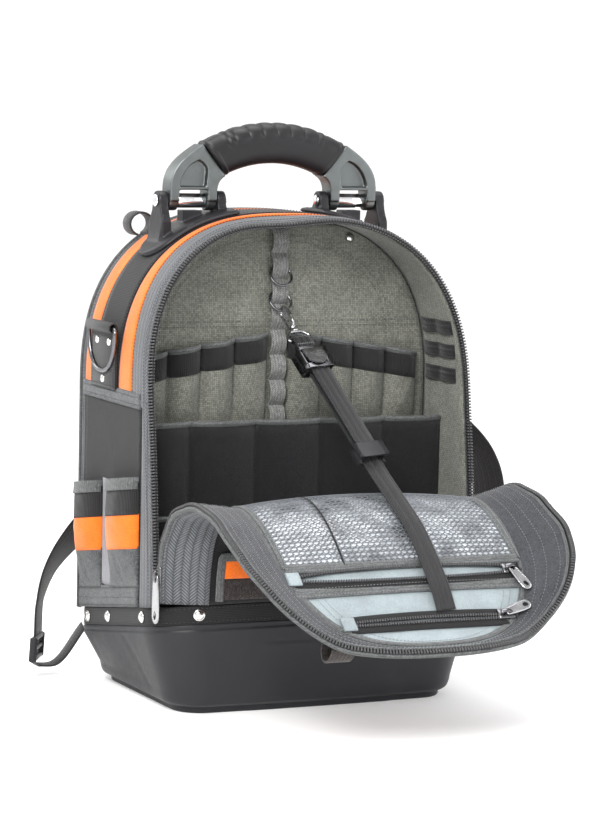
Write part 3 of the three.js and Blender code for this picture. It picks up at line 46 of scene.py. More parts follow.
# Sizes that the solids share
BASE_HALF_WIDTH, RIM_HALF_WIDTH = 148, 168
BASE_FRONT, RIM_FRONT = -111, -117
BASE_REAR, RIM_REAR = 103, 110
BASE_CORNER, RIM_CORNER = 34, 42
FRONT_BOW = 5
FOOT_HEIGHT, FOOT_INSET = 6, 9
TUB_WALL, TUB_FLOOR = 4, 10
WALL_FOOT_GROW = 0.12
RIM_HEIGHT_FRONT, RIM_HEIGHT_REAR = 104, 68
BAND_HEIGHT, BAND_THICKNESS = 17, 3.6
ARCH_HALF_WIDTH, ARCH_BASE, ARCH_RISE, ARCH_POWER = 166, 290, 169, 2.5
FRONT_EDGE_LOW, FRONT_EDGE_TOP, FRONT_EDGE_POWER = -94, -50, 1.3
REAR_EDGE = 88
TOP_SAG, TOP_SAG_PLACE, TOP_SAG_SPREAD = 5, -22, 42
CLOTH = 3
ZIP_WIDTH = 8
BACK_PAD = 20
BAND_FRONT_Y, BAND_REAR_Y = -4, 56
STRAIGHT = 0.5
PIN_HEIGHT, PIN_Y, HANDLE_TOP = 471, 28, 546
EAR_OUTER, EAR_INNER, EAR_WIDTH, EAR_RADIUS, EAR_DEPTH = 119, 50, 9, 9.5, 34
LEG_WIDTH, LEG_RADIUS, SIDE_PLAY = 9.5, 9.5, 1.2
SADDLE_FRONT_Y, SADDLE_REAR_Y, SADDLE_THICKNESS, TONGUE_HEIGHT = -3, 55, 5, 415
ARM_DEPTH, ARM_POCKET = 22, 6
GRIP_TOP_HALF, GRIP_TOP_CORNER = 75.6, 525.6
GRIP_LOW_HALF, GRIP_LOW_CORNER, GRIP_LOW_MIDDLE = 51.1, 495.2, 507
GRIP_DEPTH = 34
DIVIDER_Y = 8
FLAP_REACH, FLAP_RISE, FLAP_LIFT, FLAP_DRIFT = 223, 94, 24, 11
FLAP_BORDER, END_BORDER, FLAP_THICKNESS, FLAP_ZIP = 44, 10, 4, 5
MESH_HALF, MESH_TOP, MESH_BOTTOM, MESH_BULGE = 117, 98, 236, 8
PATCH_GAP = 1.2
STRAP_WIDTH, STRAP_THICKNESS = 20, 1.6
SHOULDER_WIDTH, SHOULDER_THICKNESS = 58, 12
INNER_INSET = BAND_THICKNESS + GAP + TUB_WALL
TUB_TOE = TUB_FLOOR + 8
TOP_HEIGHT = ARCH_BASE + ARCH_RISE
WEBBING_TOP, WEBBING_RUN, WEBBING_LOOPS = 446, 220, 9
RING_RADIUS, RING_TILT, RING_OUT = 11, 0.6, 3

PACK = "pack"


# Numbers and curves


def lerp(a, b, t):
    return a + (b - a) * t


def clamp(t):
    return np.clip(t, 0, 1)


def smooth(t):
    s = clamp(t)
    return s * s * (3 - 2 * s)


def stack(x, y, z):
    return np.stack(np.broadcast_arrays(x, y, z), axis=-1).astype(float)


def unit(v):
    return v / np.maximum(np.linalg.norm(v, axis=-1, keepdims=True), 1e-9)


def hump(share, power=0.6):
    """0 at both ends and 1 in the middle."""
    return np.sin(math.pi * share) ** power


def bell(x, centre, width):
    return np.exp(-((x - centre) / width) ** 2)


def course(path):
    """Directions along a path."""
    return unit(np.gradient(path, axis=0))


def run_along(path):
    """Distance from the start at each point of a path."""
    return np.r_[0, np.cumsum(np.linalg.norm(np.diff(path, axis=0), axis=1))]


def full_turn(count):
    return np.arange(count) / count * 2 * math.pi


def spline(points, t):
    """A centripetal curve through points, at shares t of its spans."""
    p = np.asarray(points, float)
    p = np.vstack([2 * p[0] - p[1], p, 2 * p[-1] - p[-2]])
    place = clamp(np.asarray(t, float)) * (len(p) - 3)
    i = np.minimum(place.astype(int), len(p) - 4)
    w = (place - i)[..., None]
    p0, p1, p2, p3 = p[i], p[i + 1], p[i + 2], p[i + 3]
    d0, d1, d2 = (np.maximum(((b - a) ** 2).sum(-1, keepdims=True) ** 0.25, 1e-3)
                  for a, b in ((p0, p1), (p1, p2), (p2, p3)))
    t1 = ((p1 - p0) / d0 - (p2 - p0) / (d0 + d1) + (p2 - p1) / d1) * d1
    t2 = ((p2 - p1) / d1 - (p3 - p1) / (d1 + d2) + (p3 - p2) / d2) * d1
    return p1 + t1 * w + (3 * (p2 - p1) - 2 * t1 - t2) * w ** 2 + (2 * (p1 - p2) + t1 + t2) * w ** 3


def resample(points, step=None, count=None):
    """Points at even distances along a line, ends kept."""
    p = np.asarray(points, float)
    run = run_along(p)
    at = np.linspace(0, run[-1], count or max(2, int(round(run[-1] / step)) + 1))
    return np.stack([np.interp(at, run, p[:, k]) for k in range(3)], 1)


def quadratic(p0, p1, p2, n=12):
    t = np.linspace(0, 1, n)[:, None]
    return (1 - t) ** 2 * np.array(p0) + 2 * t * (1 - t) * np.array(p1) + t ** 2 * np.array(p2)


def cubic(p0, p1, p2, p3, n=24):
    t = np.linspace(0, 1, n)[:, None]
    return ((1 - t) ** 3 * np.array(p0) + 3 * t * (1 - t) ** 2 * np.array(p1)
            + 3 * t ** 2 * (1 - t) * np.array(p2) + t ** 3 * np.array(p3))


def arc(centre, radius, start, end, n=16):
    turn = np.radians(np.linspace(start, end, n))
    return np.stack([centre[0] + radius * np.cos(turn), centre[1] + radius * np.sin(turn)], 1)


def ripple(x, y, size, seed, waves=6):
    """Soft uneven waves of about this size, between -1 and 1."""
    rng = np.random.default_rng(seed)
    total = 0
    for _ in range(waves):
        angle, phase, scale = rng.uniform(0, math.pi), rng.uniform(0, 6.28), rng.uniform(0.6, 1.5)
        k = 2 * math.pi / (size * scale)
        total = total + np.sin(k * (x * math.cos(angle) + y * math.sin(angle)) + phase)
    return total / waves ** 0.5 / 1.5


# Mesh shapes: each is points, faces, uv in millimetres, and whether each face is smooth


def grid_shape(place, nu, nv, flat_uv=None, edges_a=None, edges_b=None):
    """A closed sheet, place(a, b, face) giving points for shares across and along and face 0 or 1."""
    a1 = np.linspace(0, 1, nu + 1) if edges_a is None else np.asarray(edges_a, float)
    b1 = np.linspace(0, 1, nv + 1) if edges_b is None else np.asarray(edges_b, float)
    nu, nv = len(a1) - 1, len(b1) - 1
    a, b = np.meshgrid(a1, b1)
    under, top = place(a, b, 0.0), place(a, b, 1.0)
    if flat_uv is None:
        across = np.linalg.norm(np.diff(top, axis=1), axis=2)
        u = np.concatenate([np.zeros((nv + 1, 1)), np.cumsum(across, 1)], 1)
        u = u - u[:, -1:] / 2
        along = np.linalg.norm(np.diff(top, axis=0), axis=2).mean(1)
        v = np.repeat(np.r_[0, np.cumsum(along)][:, None], nu + 1, 1)
    else:
        u, v = flat_uv(a, b)
        u, v = np.broadcast_to(u, a.shape), np.broadcast_to(v, a.shape)
    uv = np.stack([u, v], -1).reshape(-1, 2)
    points = np.concatenate([under.reshape(-1, 3), top.reshape(-1, 3)])
    count = (nu + 1) * (nv + 1)
    at = np.arange(count).reshape(nv + 1, nu + 1)
    up = np.stack([at[:-1, :-1], at[:-1, 1:], at[1:, 1:], at[1:, :-1]], -1).reshape(-1, 4)
    faces = [up + count, up[:, ::-1]]
    smooth_marks = [np.ones(2 * len(up), bool)]
    for line in (at[0, :], at[:, -1], at[-1, ::-1], at[::-1, 0]):
        faces.append(np.stack([line[:-1], line[1:], line[1:] + count, line[:-1] + count], 1))
        smooth_marks.append(np.zeros(len(line) - 1, bool))
    return points, np.concatenate(faces), np.concatenate([uv, uv]), np.concatenate(smooth_marks)


def tube_faces(rings, sides, closed):
    """Faces of a body through rings of points, and whether each is smooth."""
    faces = []
    for r in range(rings if closed else rings - 1):
        low, high = r * sides, (r + 1) % rings * sides
        faces += [[low + k, low + (k + 1) % sides, high + (k + 1) % sides, high + k] for k in range(sides)]
    marks = [True] * len(faces)
    if not closed:
        faces += [list(range(sides))[::-1], [(rings - 1) * sides + k for k in range(sides)]]
        marks += [False, False]
    return faces, marks


def sweep_shape(path, side, normal, profile, closed=False):
    """A profile of (aside, above) points carried along a path."""
    path, profile = np.asarray(path, float), np.asarray(profile, float)
    side, normal = (np.broadcast_to(np.asarray(v, float), path.shape)[:, None] for v in (side, normal))
    points = path[:, None] + profile[None, :, :1] * side + profile[None, :, 1:] * normal
    uv = np.stack(np.meshgrid(run_along(profile), run_along(path)), -1).reshape(-1, 2)
    faces, marks = tube_faces(len(path), len(profile), closed)
    return points.reshape(-1, 3), faces, uv, marks


def frames(path, up, closed=False):
    """Directions aside and above for a path, above as near to up as it can be."""
    p = np.asarray(path, float)
    if closed:
        tangent = unit(np.roll(p, -1, 0) - np.roll(p, 1, 0))
    else:
        tangent = unit(np.gradient(p, axis=0))
    up = np.broadcast_to(np.asarray(up, float), p.shape)
    side = unit(np.cross(tangent, up))
    return tangent, side, unit(np.cross(side, tangent))


def circle(radius, sides, squash=1.0):
    turn = full_turn(sides)
    return np.stack([np.cos(turn) * radius, np.sin(turn) * radius * squash], 1)


def pill(width, height, sides=3):
    """A flat bar's profile with round edges."""
    radius = height / 2
    points = []
    for centre, start in ((width / 2 - radius, -90), (radius - width / 2, 90)):
        for k in range(sides + 1):
            turn = math.radians(start + 180 * k / sides)
            points.append((centre + radius * math.cos(turn), radius * math.sin(turn)))
    return points


def tube_shape(path, up, radius, sides=8, closed=False, squash=1.0):
    tangent, side, above = frames(path, up, closed)
    return sweep_shape(path, side, above, circle(radius, sides, squash), closed)


def strip_shape(path, up, width, height, closed=False, sides=3):
    tangent, side, above = frames(path, up, closed)
    return sweep_shape(path, side, above, pill(width, height, sides), closed)


def many_shape(template, centres, along, side, above):
    """Copies of a small shape, one at each centre."""
    points, faces, marks = template
    points, faces = np.asarray(points, float), list(faces)
    c, x, y, z = (np.broadcast_to(np.asarray(v, float), np.asarray(centres).shape)
                  for v in (centres, along, side, above))
    out = (c[:, None] + points[None, :, :1] * x[:, None] + points[None, :, 1:2] * y[:, None]
           + points[None, :, 2:] * z[:, None])
    made = [[k + r * len(points) for k in f] for r in range(len(c)) for f in faces]
    uv = np.zeros((out.shape[0] * out.shape[1], 2))
    return out.reshape(-1, 3), made, uv, list(marks) * len(c)


def tooth(length, width, height):
    """A zip tooth: a small block with its top drawn in."""
    l, w, h = length / 2, width / 2, height
    low = [(-l, -w, 0), (l, -w, 0), (l, w, 0), (-l, w, 0)]
    mid = [(x, y, h * 0.6) for x, y, _ in low]
    top = [(x * 0.5, y * 0.7, h) for x, y, _ in low]
    faces, _ = tube_faces(3, 4, False)
    return low + mid + top, faces, [True] * 8 + [False, True]


def stitch(length=2.6, width=0.7, height=0.5):
    l, w, h = length / 2, width / 2, height
    points = [(-l, 0, -0.2), (l, 0, -0.2), (0, w, 0), (0, -w, 0), (0, 0, h), (0, 0, -h)]
    faces = [[0, 3, 4], [3, 1, 4], [1, 2, 4], [2, 0, 4], [0, 5, 3], [3, 5, 1], [1, 5, 2], [2, 5, 0]]
    return points, faces, [True] * 8


def stitches(path, normals, pitch=3.6, length=2.6):
    """A row of stitches on a surface line, normals being the surface's directions there."""
    p = resample(path, pitch)
    n = unit(resample(np.broadcast_to(np.asarray(normals, float), np.shape(path)), count=len(p))
             if np.ndim(normals) > 1 else np.broadcast_to(normals, p.shape))
    tangent, side, above = frames(p, n)
    return many_shape(stitch(length), p + above * 0.25, tangent, side, above)


def lathe_shape(profile, centre, axis, aside, sides=20):
    """A round body from (radius, along) points."""
    axis, aside = unit(np.asarray(axis, float)), unit(np.asarray(aside, float))
    turn = full_turn(sides)[:, None]
    wheel = np.cos(turn) * aside + np.sin(turn) * np.cross(axis, aside)
    points = np.concatenate([np.asarray(centre) + axis * along + radius * wheel for radius, along in profile])
    faces, _ = tube_faces(len(profile), sides, False)
    return points, faces, np.zeros((len(points), 2)), [True] * len(faces)


def prism_shape(outline, holes, place, d0, d1):
    """An outline with holes made thick, place(p, d) putting 2-D points in space at depth d."""
    loops = [[Vector((x, y, 0)) for x, y in loop] for loop in (outline, *holes)]
    p2 = np.array([(v.x, v.y) for loop in loops for v in loop])
    n = len(p2)
    points = np.concatenate([place(p2, d0), place(p2, d1)])
    faces = []
    for a, b, c in tessellate_polygon(loops):
        ab, ac = p2[b] - p2[a], p2[c] - p2[a]
        if ab[0] * ac[1] < ab[1] * ac[0]:
            b, c = c, b
        faces += [[a + n, b + n, c + n], [c, b, a]]
    start = 0
    for loop in loops:
        k = len(loop)
        x, y = p2[start:start + k].T
        backwards = ((x * np.roll(y, -1) - np.roll(x, -1) * y).sum() < 0) == (start == 0)
        for i in range(k):
            edge = [start + i, start + (i + 1) % k]
            i0, i1 = edge[::-1] if backwards else edge
            faces.append([i0, i1, i1 + n, i0 + n])
        start += k
    return points, faces, np.zeros((2 * n, 2)), [False] * len(faces)


def mirror(shape):
    points, faces, uv, marks = shape
    return points * np.array([-1, 1, 1]), [list(f)[::-1] for f in faces], uv, marks


def piece(name, shapes, material, body=PACK, slot=None, replaces=()):
    """One object from shapes, riding on a body."""
    points, faces, uvs, marks, start = [], [], [], [], 0
    for p, f, uv, m in shapes:
        p = np.asarray(p, float)
        points.append(p)
        uvs.append(np.asarray(uv, float))
        faces += [[int(k) + start for k in face] for face in f]
        marks += list(m)
        start += len(p)
    points, uvs = np.concatenate(points) * MM, np.concatenate(uvs) * MM
    mesh = bpy.data.meshes.new(name)
    mesh.from_pydata(points.tolist(), [], faces)
    layer = mesh.uv_layers.new(name="UVMap")
    index = np.zeros(len(mesh.loops), int)
    mesh.loops.foreach_get("vertex_index", index)
    layer.data.foreach_set("uv", uvs[index].astype(np.float32).ravel())
    mesh.polygons.foreach_set("use_smooth", np.array(marks, bool))
    bm = bmesh.new()
    bm.from_mesh(mesh)
    bmesh.ops.recalc_face_normals(bm, faces=bm.faces)
    bm.to_mesh(mesh)
    bm.free()
    mesh.materials.append(material)
    obj = bpy.data.objects.new(name, mesh)
    bpy.context.scene.collection.objects.link(obj)
    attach(obj, body)
    if replaces:
        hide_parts(*([replaces] if isinstance(replaces, str) else replaces))
    return obj


def moulded(name, shapes, material, voxel, rounds, **facts):
    """One rounded body from shapes that reach into each other, as a moulding or casting has."""
    obj = piece(name, shapes, material, **facts)
    remesh = obj.modifiers.new("join", "REMESH")
    remesh.mode = "VOXEL"
    remesh.voxel_size = voxel * MM
    soften = obj.modifiers.new("soften", "SMOOTH")
    soften.factor = 0.5
    soften.iterations = rounds
    made = bpy.data.meshes.new_from_object(obj.evaluated_get(bpy.context.evaluated_depsgraph_get()))
    obj.modifiers.clear()
    obj.data = made
    made.polygons.foreach_set("use_smooth", np.ones(len(made.polygons), bool))
    if not made.materials:
        made.materials.append(material)
    return obj


# Materials


class Shade:
    """A material under construction, with short ways to add its nodes."""

    def __init__(self, name, colour, rough, metal=0.0, sheen=0.0, coat=0.0, specular=0.5):
        self.material = bpy.data.materials.new(name)
        self.material.use_nodes = True
        self.tree = self.material.node_tree
        self.shader = self.tree.nodes["Principled BSDF"]
        self.colour = colour
        values = {"Base Color": (*colour, 1), "Roughness": rough, "Metallic": metal, "Sheen Weight": sheen,
                  "Sheen Roughness": 0.4, "Coat Weight": coat, "Specular IOR Level": specular}
        for key, value in values.items():
            self.shader.inputs[key].default_value = value
        self.material.diffuse_color = (*colour, 1)

    def link(self, source, target):
        self.tree.links.new(source, target)

    def node(self, kind, **settings):
        made = self.tree.nodes.new(kind)
        for key, value in settings.items():
            setattr(made, key, value)
        return made

    def maths(self, operation, a, b=None, c=None):
        made = self.node("ShaderNodeMath", operation=operation)
        for slot, value in enumerate((a, b, c)):
            if value is None:
                continue
            if isinstance(value, (int, float)):
                made.inputs[slot].default_value = value
            else:
                self.link(value, made.inputs[slot])
        return made.outputs[0]

    def place(self, scale=1.0, source="UV"):
        """Coordinates in millimetres over scale."""
        coordinates = self.node("ShaderNodeTexCoord")
        mapping = self.node("ShaderNodeMapping")
        mapping.inputs["Scale"].default_value = (1000 / scale,) * 3
        self.link(coordinates.outputs[source], mapping.inputs["Vector"])
        return mapping.outputs[0]

    def split(self, vector):
        made = self.node("ShaderNodeSeparateXYZ")
        self.link(vector, made.inputs[0])
        return made.outputs

    def noise(self, size, detail=3.0, rough=0.55):
        made = self.node("ShaderNodeTexNoise")
        for key, number in (("Scale", 1.0), ("Detail", detail), ("Roughness", rough)):
            made.inputs[key].default_value = number
        self.link(self.place(size, "Object"), made.inputs["Vector"])
        return made.outputs["Fac"]

    def range(self, value, low, high, new_low, new_high):
        made = self.node("ShaderNodeMapRange")
        for key, number in (("From Min", low), ("From Max", high), ("To Min", new_low), ("To Max", new_high)):
            made.inputs[key].default_value = number
        self.link(value, made.inputs["Value"])
        return made.outputs[0]

    def stretch(self, noise, low, high):
        """A noise, mostly between 0.3 and 0.7, brought to between low and high."""
        return self.range(noise, 0.3, 0.7, low, high)

    def threads(self, x, y, spread):
        """A factor near 1, another one for each whole x and y."""
        join = self.node("ShaderNodeCombineXYZ")
        self.link(self.maths("FLOOR", x), join.inputs[0])
        self.link(self.maths("FLOOR", y), join.inputs[1])
        made = self.node("ShaderNodeTexWhiteNoise", noise_dimensions="2D")
        self.link(join.outputs[0], made.inputs["Vector"])
        return self.range(made.outputs["Value"], 0, 1, 1 - spread, 1 + spread)

    def wave(self, value, turn=math.pi):
        """Half waves, 0 at each whole number."""
        return self.maths("ABSOLUTE", self.maths("SINE", self.maths("MULTIPLY", value, turn)))

    def odd(self, value):
        """1 for odd whole numbers and 0 for even ones."""
        return self.maths("MODULO", self.maths("ABSOLUTE", value), 2.0)

    def blend(self, a, share_a, b, share_b):
        return self.maths("ADD", self.maths("MULTIPLY", a, share_a), self.maths("MULTIPLY", b, share_b))

    def tint(self, *factors):
        """The base colour times these factors."""
        total = factors[0]
        for factor in factors[1:]:
            total = self.maths("MULTIPLY", total, factor)
        scale = self.node("ShaderNodeVectorMath", operation="SCALE")
        scale.inputs[0].default_value = self.colour
        self.link(total, scale.inputs["Scale"])
        self.link(scale.outputs[0], self.shader.inputs["Base Color"])

    def bump(self, *heights):
        """Bumps from (height, depth in millimetres) pairs, laid on each other."""
        normal = None
        for height, depth in heights:
            made = self.node("ShaderNodeBump")
            made.inputs["Strength"].default_value = 1.0
            made.inputs["Distance"].default_value = depth * MM
            self.link(height, made.inputs["Height"])
            if normal is not None:
                self.link(normal, made.inputs["Normal"])
            normal = made.outputs[0]
        self.link(normal, self.shader.inputs["Normal"])

    def roughness(self, value):
        self.link(value, self.shader.inputs["Roughness"])


def woven(name, colour, pitch=1.1, depth=0.3, relief_shade=0.5, mottle=0.5, rough=0.85, sheen=0.25):
    """Plain weave: each cell shows the thread that lies on top there."""
    s = Shade(name, colour, rough, sheen=sheen, specular=0.3)
    x, y, _ = s.split(s.place(pitch))
    parity = s.odd(s.maths("ADD", s.maths("FLOOR", x), s.maths("FLOOR", y)))
    height = s.blend(s.wave(x), parity, s.wave(y), s.maths("SUBTRACT", 1.0, parity))
    # Painted shade and light: the first tint factor darkens the hollows between threads and lightens the
    # thread tops.
    s.tint(s.range(height, 0, 1, 1 - relief_shade, 1 + relief_shade * 0.5), s.threads(x, y, mottle),
           s.stretch(s.noise(28), 0.86, 1.14))
    s.bump((height, depth), (s.noise(9, 2), 0.25))
    return s.material


def twilled(name, colour, pitch=2.2, column=4.0, depth=0.35, relief_shade=0.6, mottle=0.3, rough=0.8, sheen=0.2):
    """Webbing and herringbone: slanting ribs that turn back in each next column."""
    s = Shade(name, colour, rough, sheen=sheen, specular=0.35)
    x, y, _ = s.split(s.place(1.0))
    lane = s.maths("DIVIDE", x, column)
    way = s.maths("SUBTRACT", s.maths("MULTIPLY", s.odd(s.maths("FLOOR", lane)), 2.0), 1.0)
    slant = s.maths("ADD", y, s.maths("MULTIPLY", x, way))
    height = s.maths("MULTIPLY", s.wave(slant, math.pi / pitch), s.maths("POWER", s.wave(lane), 0.35))
    threads = s.threads(s.maths("DIVIDE", x, 1.3), s.maths("DIVIDE", slant, pitch), mottle)
    # Painted shade and light: the first tint factor darkens the hollows between ribs and at the column edges,
    # and lightens the rib tops.
    s.tint(s.range(height, 0, 1, 1 - relief_shade, 1 + relief_shade * 0.6), threads, s.stretch(s.noise(30), 0.9, 1.1))
    s.bump((height, depth), (s.noise(7, 2), 0.15))
    return s.material


def ribbed(name, colour, pitch, depth, relief_shade=0.5, axis=1):
    """Ribs straight across a band, as on elastic and zip tape."""
    s = Shade(name, colour, 0.8, sheen=0.15, specular=0.35)
    parts = s.split(s.place(pitch))
    height = s.blend(s.wave(parts[axis]), 0.7, s.wave(parts[1 - axis], math.pi * 1.7), 0.3)
    # Painted shade and light: the first tint factor darkens the hollows between ribs and lightens the rib
    # tops.
    s.tint(s.range(height, 0, 1, 1 - relief_shade, 1 + relief_shade * 0.5), s.stretch(s.noise(20), 0.88, 1.12))
    s.bump((height, depth))
    return s.material


def moulding(name, colour, rough, grain=0.5, depth=0.05, spread=0.12):
    """Moulded plastic or rubber: fine grain, uneven gloss and faint scuffs."""
    s = Shade(name, colour, rough, specular=0.32)
    fine, broad, scuff = s.noise(grain, 2), s.noise(60, 3), s.noise(5, 6, rough=0.8)
    s.tint(s.stretch(broad, 0.9, 1.1), s.range(scuff, 0.55, 0.8, 1.0, 1.25))
    s.roughness(s.stretch(s.blend(broad, 0.6, scuff, 0.4), rough - spread, rough + spread))
    s.bump((fine, depth), (s.noise(18, 2), 0.15))
    return s.material


def metal(name, colour, rough, grain=0.0, spread=0.05):
    s = Shade(name, colour, rough, metal=1.0)
    smudge = s.noise(9, 4)
    s.tint(s.stretch(smudge, 0.92, 1.05))
    s.roughness(s.stretch(smudge, max(0.03, rough - spread), rough + spread))
    if grain:
        s.bump((s.noise(0.7, 2), grain))
    return s.material


def clear_film(name, colour, rough):
    """Wrinkled clear film, with its glints as paler and darker places."""
    s = Shade(name, colour, rough, specular=0.8, coat=0.8)
    s.bump((s.noise(11, 4), 1.6), (s.noise(38, 2), 3.0))
    s.tint(s.range(s.noise(24, 4), 0.36, 0.62, 0.45, 1.9))
    return s.material


GREY = (0.082, 0.088, 0.092)
TUB = moulding("tub_plastic", (0.017, 0.0175, 0.021), 0.45, grain=0.8, depth=0.06)
PLASTIC = moulding("black_plastic", (0.014, 0.0135, 0.016), 0.4)
RUBBER = moulding("grip_rubber", (0.0105, 0.010, 0.0115), 0.46, grain=0.6, depth=0.04)
ALLOY = metal("cast_alloy", (0.155, 0.168, 0.168), 0.42, grain=0.05)
CHROME = metal("chrome", (0.86, 0.86, 0.88), 0.1)
RIVET = metal("rivet_metal", (0.75, 0.74, 0.72), 0.16)
NICKEL = metal("pull_metal", (0.42, 0.42, 0.43), 0.26)
DARK_METAL = metal("dark_metal", (0.17, 0.17, 0.18), 0.28)
GREY_CLOTH = woven("grey_cloth", GREY, 1.2, mottle=0.45)
DARK_CLOTH = woven("black_cloth", (0.0085, 0.0085, 0.010), 1.0, mottle=0.35, sheen=0.15)
LINING = woven("inner_lining", (0.165, 0.168, 0.145), 1.9, mottle=0.25, relief_shade=0.55)
LIGHT_CLOTH = woven("light_lining", (0.27, 0.315, 0.335), 0.9, 0.12, relief_shade=0.16, mottle=0.1, rough=0.7)
SATIN = woven("satin_cloth", (0.21, 0.21, 0.235), 0.8, 0.1, relief_shade=0.15, mottle=0.08, rough=0.55)
ORANGE = woven("orange_cloth", (0.87, 0.165, 0.008), 0.9, depth=0.15, relief_shade=0.16, mottle=0.1, rough=0.65)
HERRINGBONE = twilled("herringbone", (0.105, 0.11, 0.12), pitch=3.2, column=7, relief_shade=0.85, mottle=0.12)
BINDING = twilled("grey_binding", (0.105, 0.11, 0.112), pitch=1.8, column=3, relief_shade=0.5, mottle=0.35)
WEBBING = twilled("black_webbing", (0.013, 0.013, 0.015), 2.8, 4, relief_shade=0.9, mottle=0.3, rough=0.6)
SPINE = ribbed("spine_webbing", (0.0095, 0.0093, 0.0105), 1.6, 0.25, relief_shade=0.5)
GREY_WEBBING = twilled("grey_webbing", (0.19, 0.195, 0.19), pitch=2.0, column=3, mottle=0.3)
BROWN_WEBBING = twilled("brown_webbing", (0.036, 0.029, 0.027), 2.4, 2.4, mottle=0.6, relief_shade=0.8)
ELASTIC = ribbed("elastic", (0.013, 0.0125, 0.013), 1.9, 0.5, relief_shade=0.7, axis=0)
TAPE = ribbed("zip_tape", (0.008, 0.008, 0.009), 1.0, 0.15)
TEETH = moulding("zip_teeth", (0.06, 0.06, 0.063), 0.2, spread=0.05)
THREAD = moulding("thread", (0.26, 0.27, 0.28), 0.6)
DARK_THREAD = moulding("dark_thread", (0.06, 0.06, 0.065), 0.6)
NET = moulding("net_strands", (0.15, 0.16, 0.175), 0.45)
FILM = clear_film("clear_film", (0.36, 0.38, 0.41), 0.14)
BORDER = woven("border_cloth", (0.042, 0.044, 0.052), 1.1, mottle=0.4)
SPACER = woven("spacer_mesh", (0.03, 0.03, 0.033), 2.6, depth=0.9, relief_shade=0.8, mottle=0.2)


# Moulded base

CORNER_STEPS = 12
EDGE_SHARES = np.linspace(-0.92, 0.92, 25)
GROOVE_WIDTH, PANEL_DEPTH = 3.2, 1.3
BAND_PROFILE = [(0.0, 0.9), (0.03, 0.2), (0.08, 0.5), (0.14, 0.35), (0.5, 0.1), (0.86, 0.35), (0.92, 0.5),
                (0.97, 0.2), (1.0, 0.9), (1.0, BAND_THICKNESS), (0.0, BAND_THICKNESS)]
RIVET_DOME = [(5.6, 0), (5.6, 0.5), (5.0, 0.9), (4.6, 0.8), (4.4, 1.3), (3.6, 2.1), (2.2, 2.6), (0.01, 2.75)]


def rim_height(y):
    return lerp(RIM_HEIGHT_FRONT, RIM_HEIGHT_REAR, (y - RIM_FRONT) / (RIM_REAR - RIM_FRONT))


def base_outline(grow, inset):
    """A ring round the base, from grow 0 at its foot to 1 at its rim."""
    half = lerp(BASE_HALF_WIDTH, RIM_HALF_WIDTH, grow) - inset
    front = lerp(BASE_FRONT, RIM_FRONT, grow) + inset
    rear = lerp(BASE_REAR, RIM_REAR, grow) - inset
    radius = lerp(BASE_CORNER, RIM_CORNER, grow) - inset
    ring = []
    for corner, (sx, sy) in enumerate(((-1, -1), (1, -1), (1, 1), (-1, 1))):
        cx, cy = sx * (half - radius), (front + radius if sy < 0 else rear - radius)
        for i in range(CORNER_STEPS + 1):
            angle = math.pi * (1 + corner / 2 + i / CORNER_STEPS / 2)
            ring.append((cx + radius * math.cos(angle), cy + radius * math.sin(angle)))
        for share in EDGE_SHARES:
            if sx == sy:
                ring.append((-sx * share * (half - radius), front if sy < 0 else rear))
            else:
                middle, reach = (front + rear) / 2, (rear - front) / 2 - radius
                ring.append((sx * half, middle + sx * share * reach))
    ring = np.array(ring)
    bow = FRONT_BOW * np.sqrt(np.maximum(0, 1 - (ring[:, 0] / half) ** 2)) * clamp(ring[:, 1] / front) ** 4
    ring[:, 1] -= bow
    return ring


def ring_stack(rows, closed):
    """A body through rings of equal point counts."""
    faces, marks = tube_faces(len(rows), len(rows[0]), closed)
    rise = np.r_[0, np.cumsum([np.linalg.norm(b - a, axis=1).mean() for a, b in zip(rows, rows[1:])])]
    uv = np.stack(np.meshgrid(run_along(rows[0]), rise), -1).reshape(-1, 2)
    return np.concatenate(rows), faces, uv, marks


def base_row(grow, inset, height):
    ring = base_outline(grow, inset)
    return stack(ring[:, 0], ring[:, 1], height(ring[:, 1]) if callable(height) else height)


def below_rim(drop):
    return lambda y: rim_height(y) - drop


def below_band(drop):
    return lambda y: rim_height(y) - BAND_HEIGHT - GAP - drop


def wall_relief(points):
    """How far the outer wall stands in: a slanting groove on each side and the edge of the front panel."""
    x, y, z = points.T
    top = rim_height(y) - BAND_HEIGHT
    share = clamp(z / np.maximum(top, 1))
    on_side = smooth((np.abs(x) - 120) / 20)
    side = bell(y, lerp(-64, -18, share), GROOVE_WIDTH) * on_side * PANEL_DEPTH
    rear = bell(y, lerp(58, 66, share), GROOVE_WIDTH) * on_side
    edge = np.minimum(lerp(76, 62, clamp((z - 6) / 60)) - np.abs(x), 66 - z)
    panel = smooth((edge + 1.5) / 3) * smooth((-y - 95) / 10)
    fade = smooth((z - 12) / 10) * smooth((top - z - 4) / 10)
    return (side + rear) * fade - panel * PANEL_DEPTH


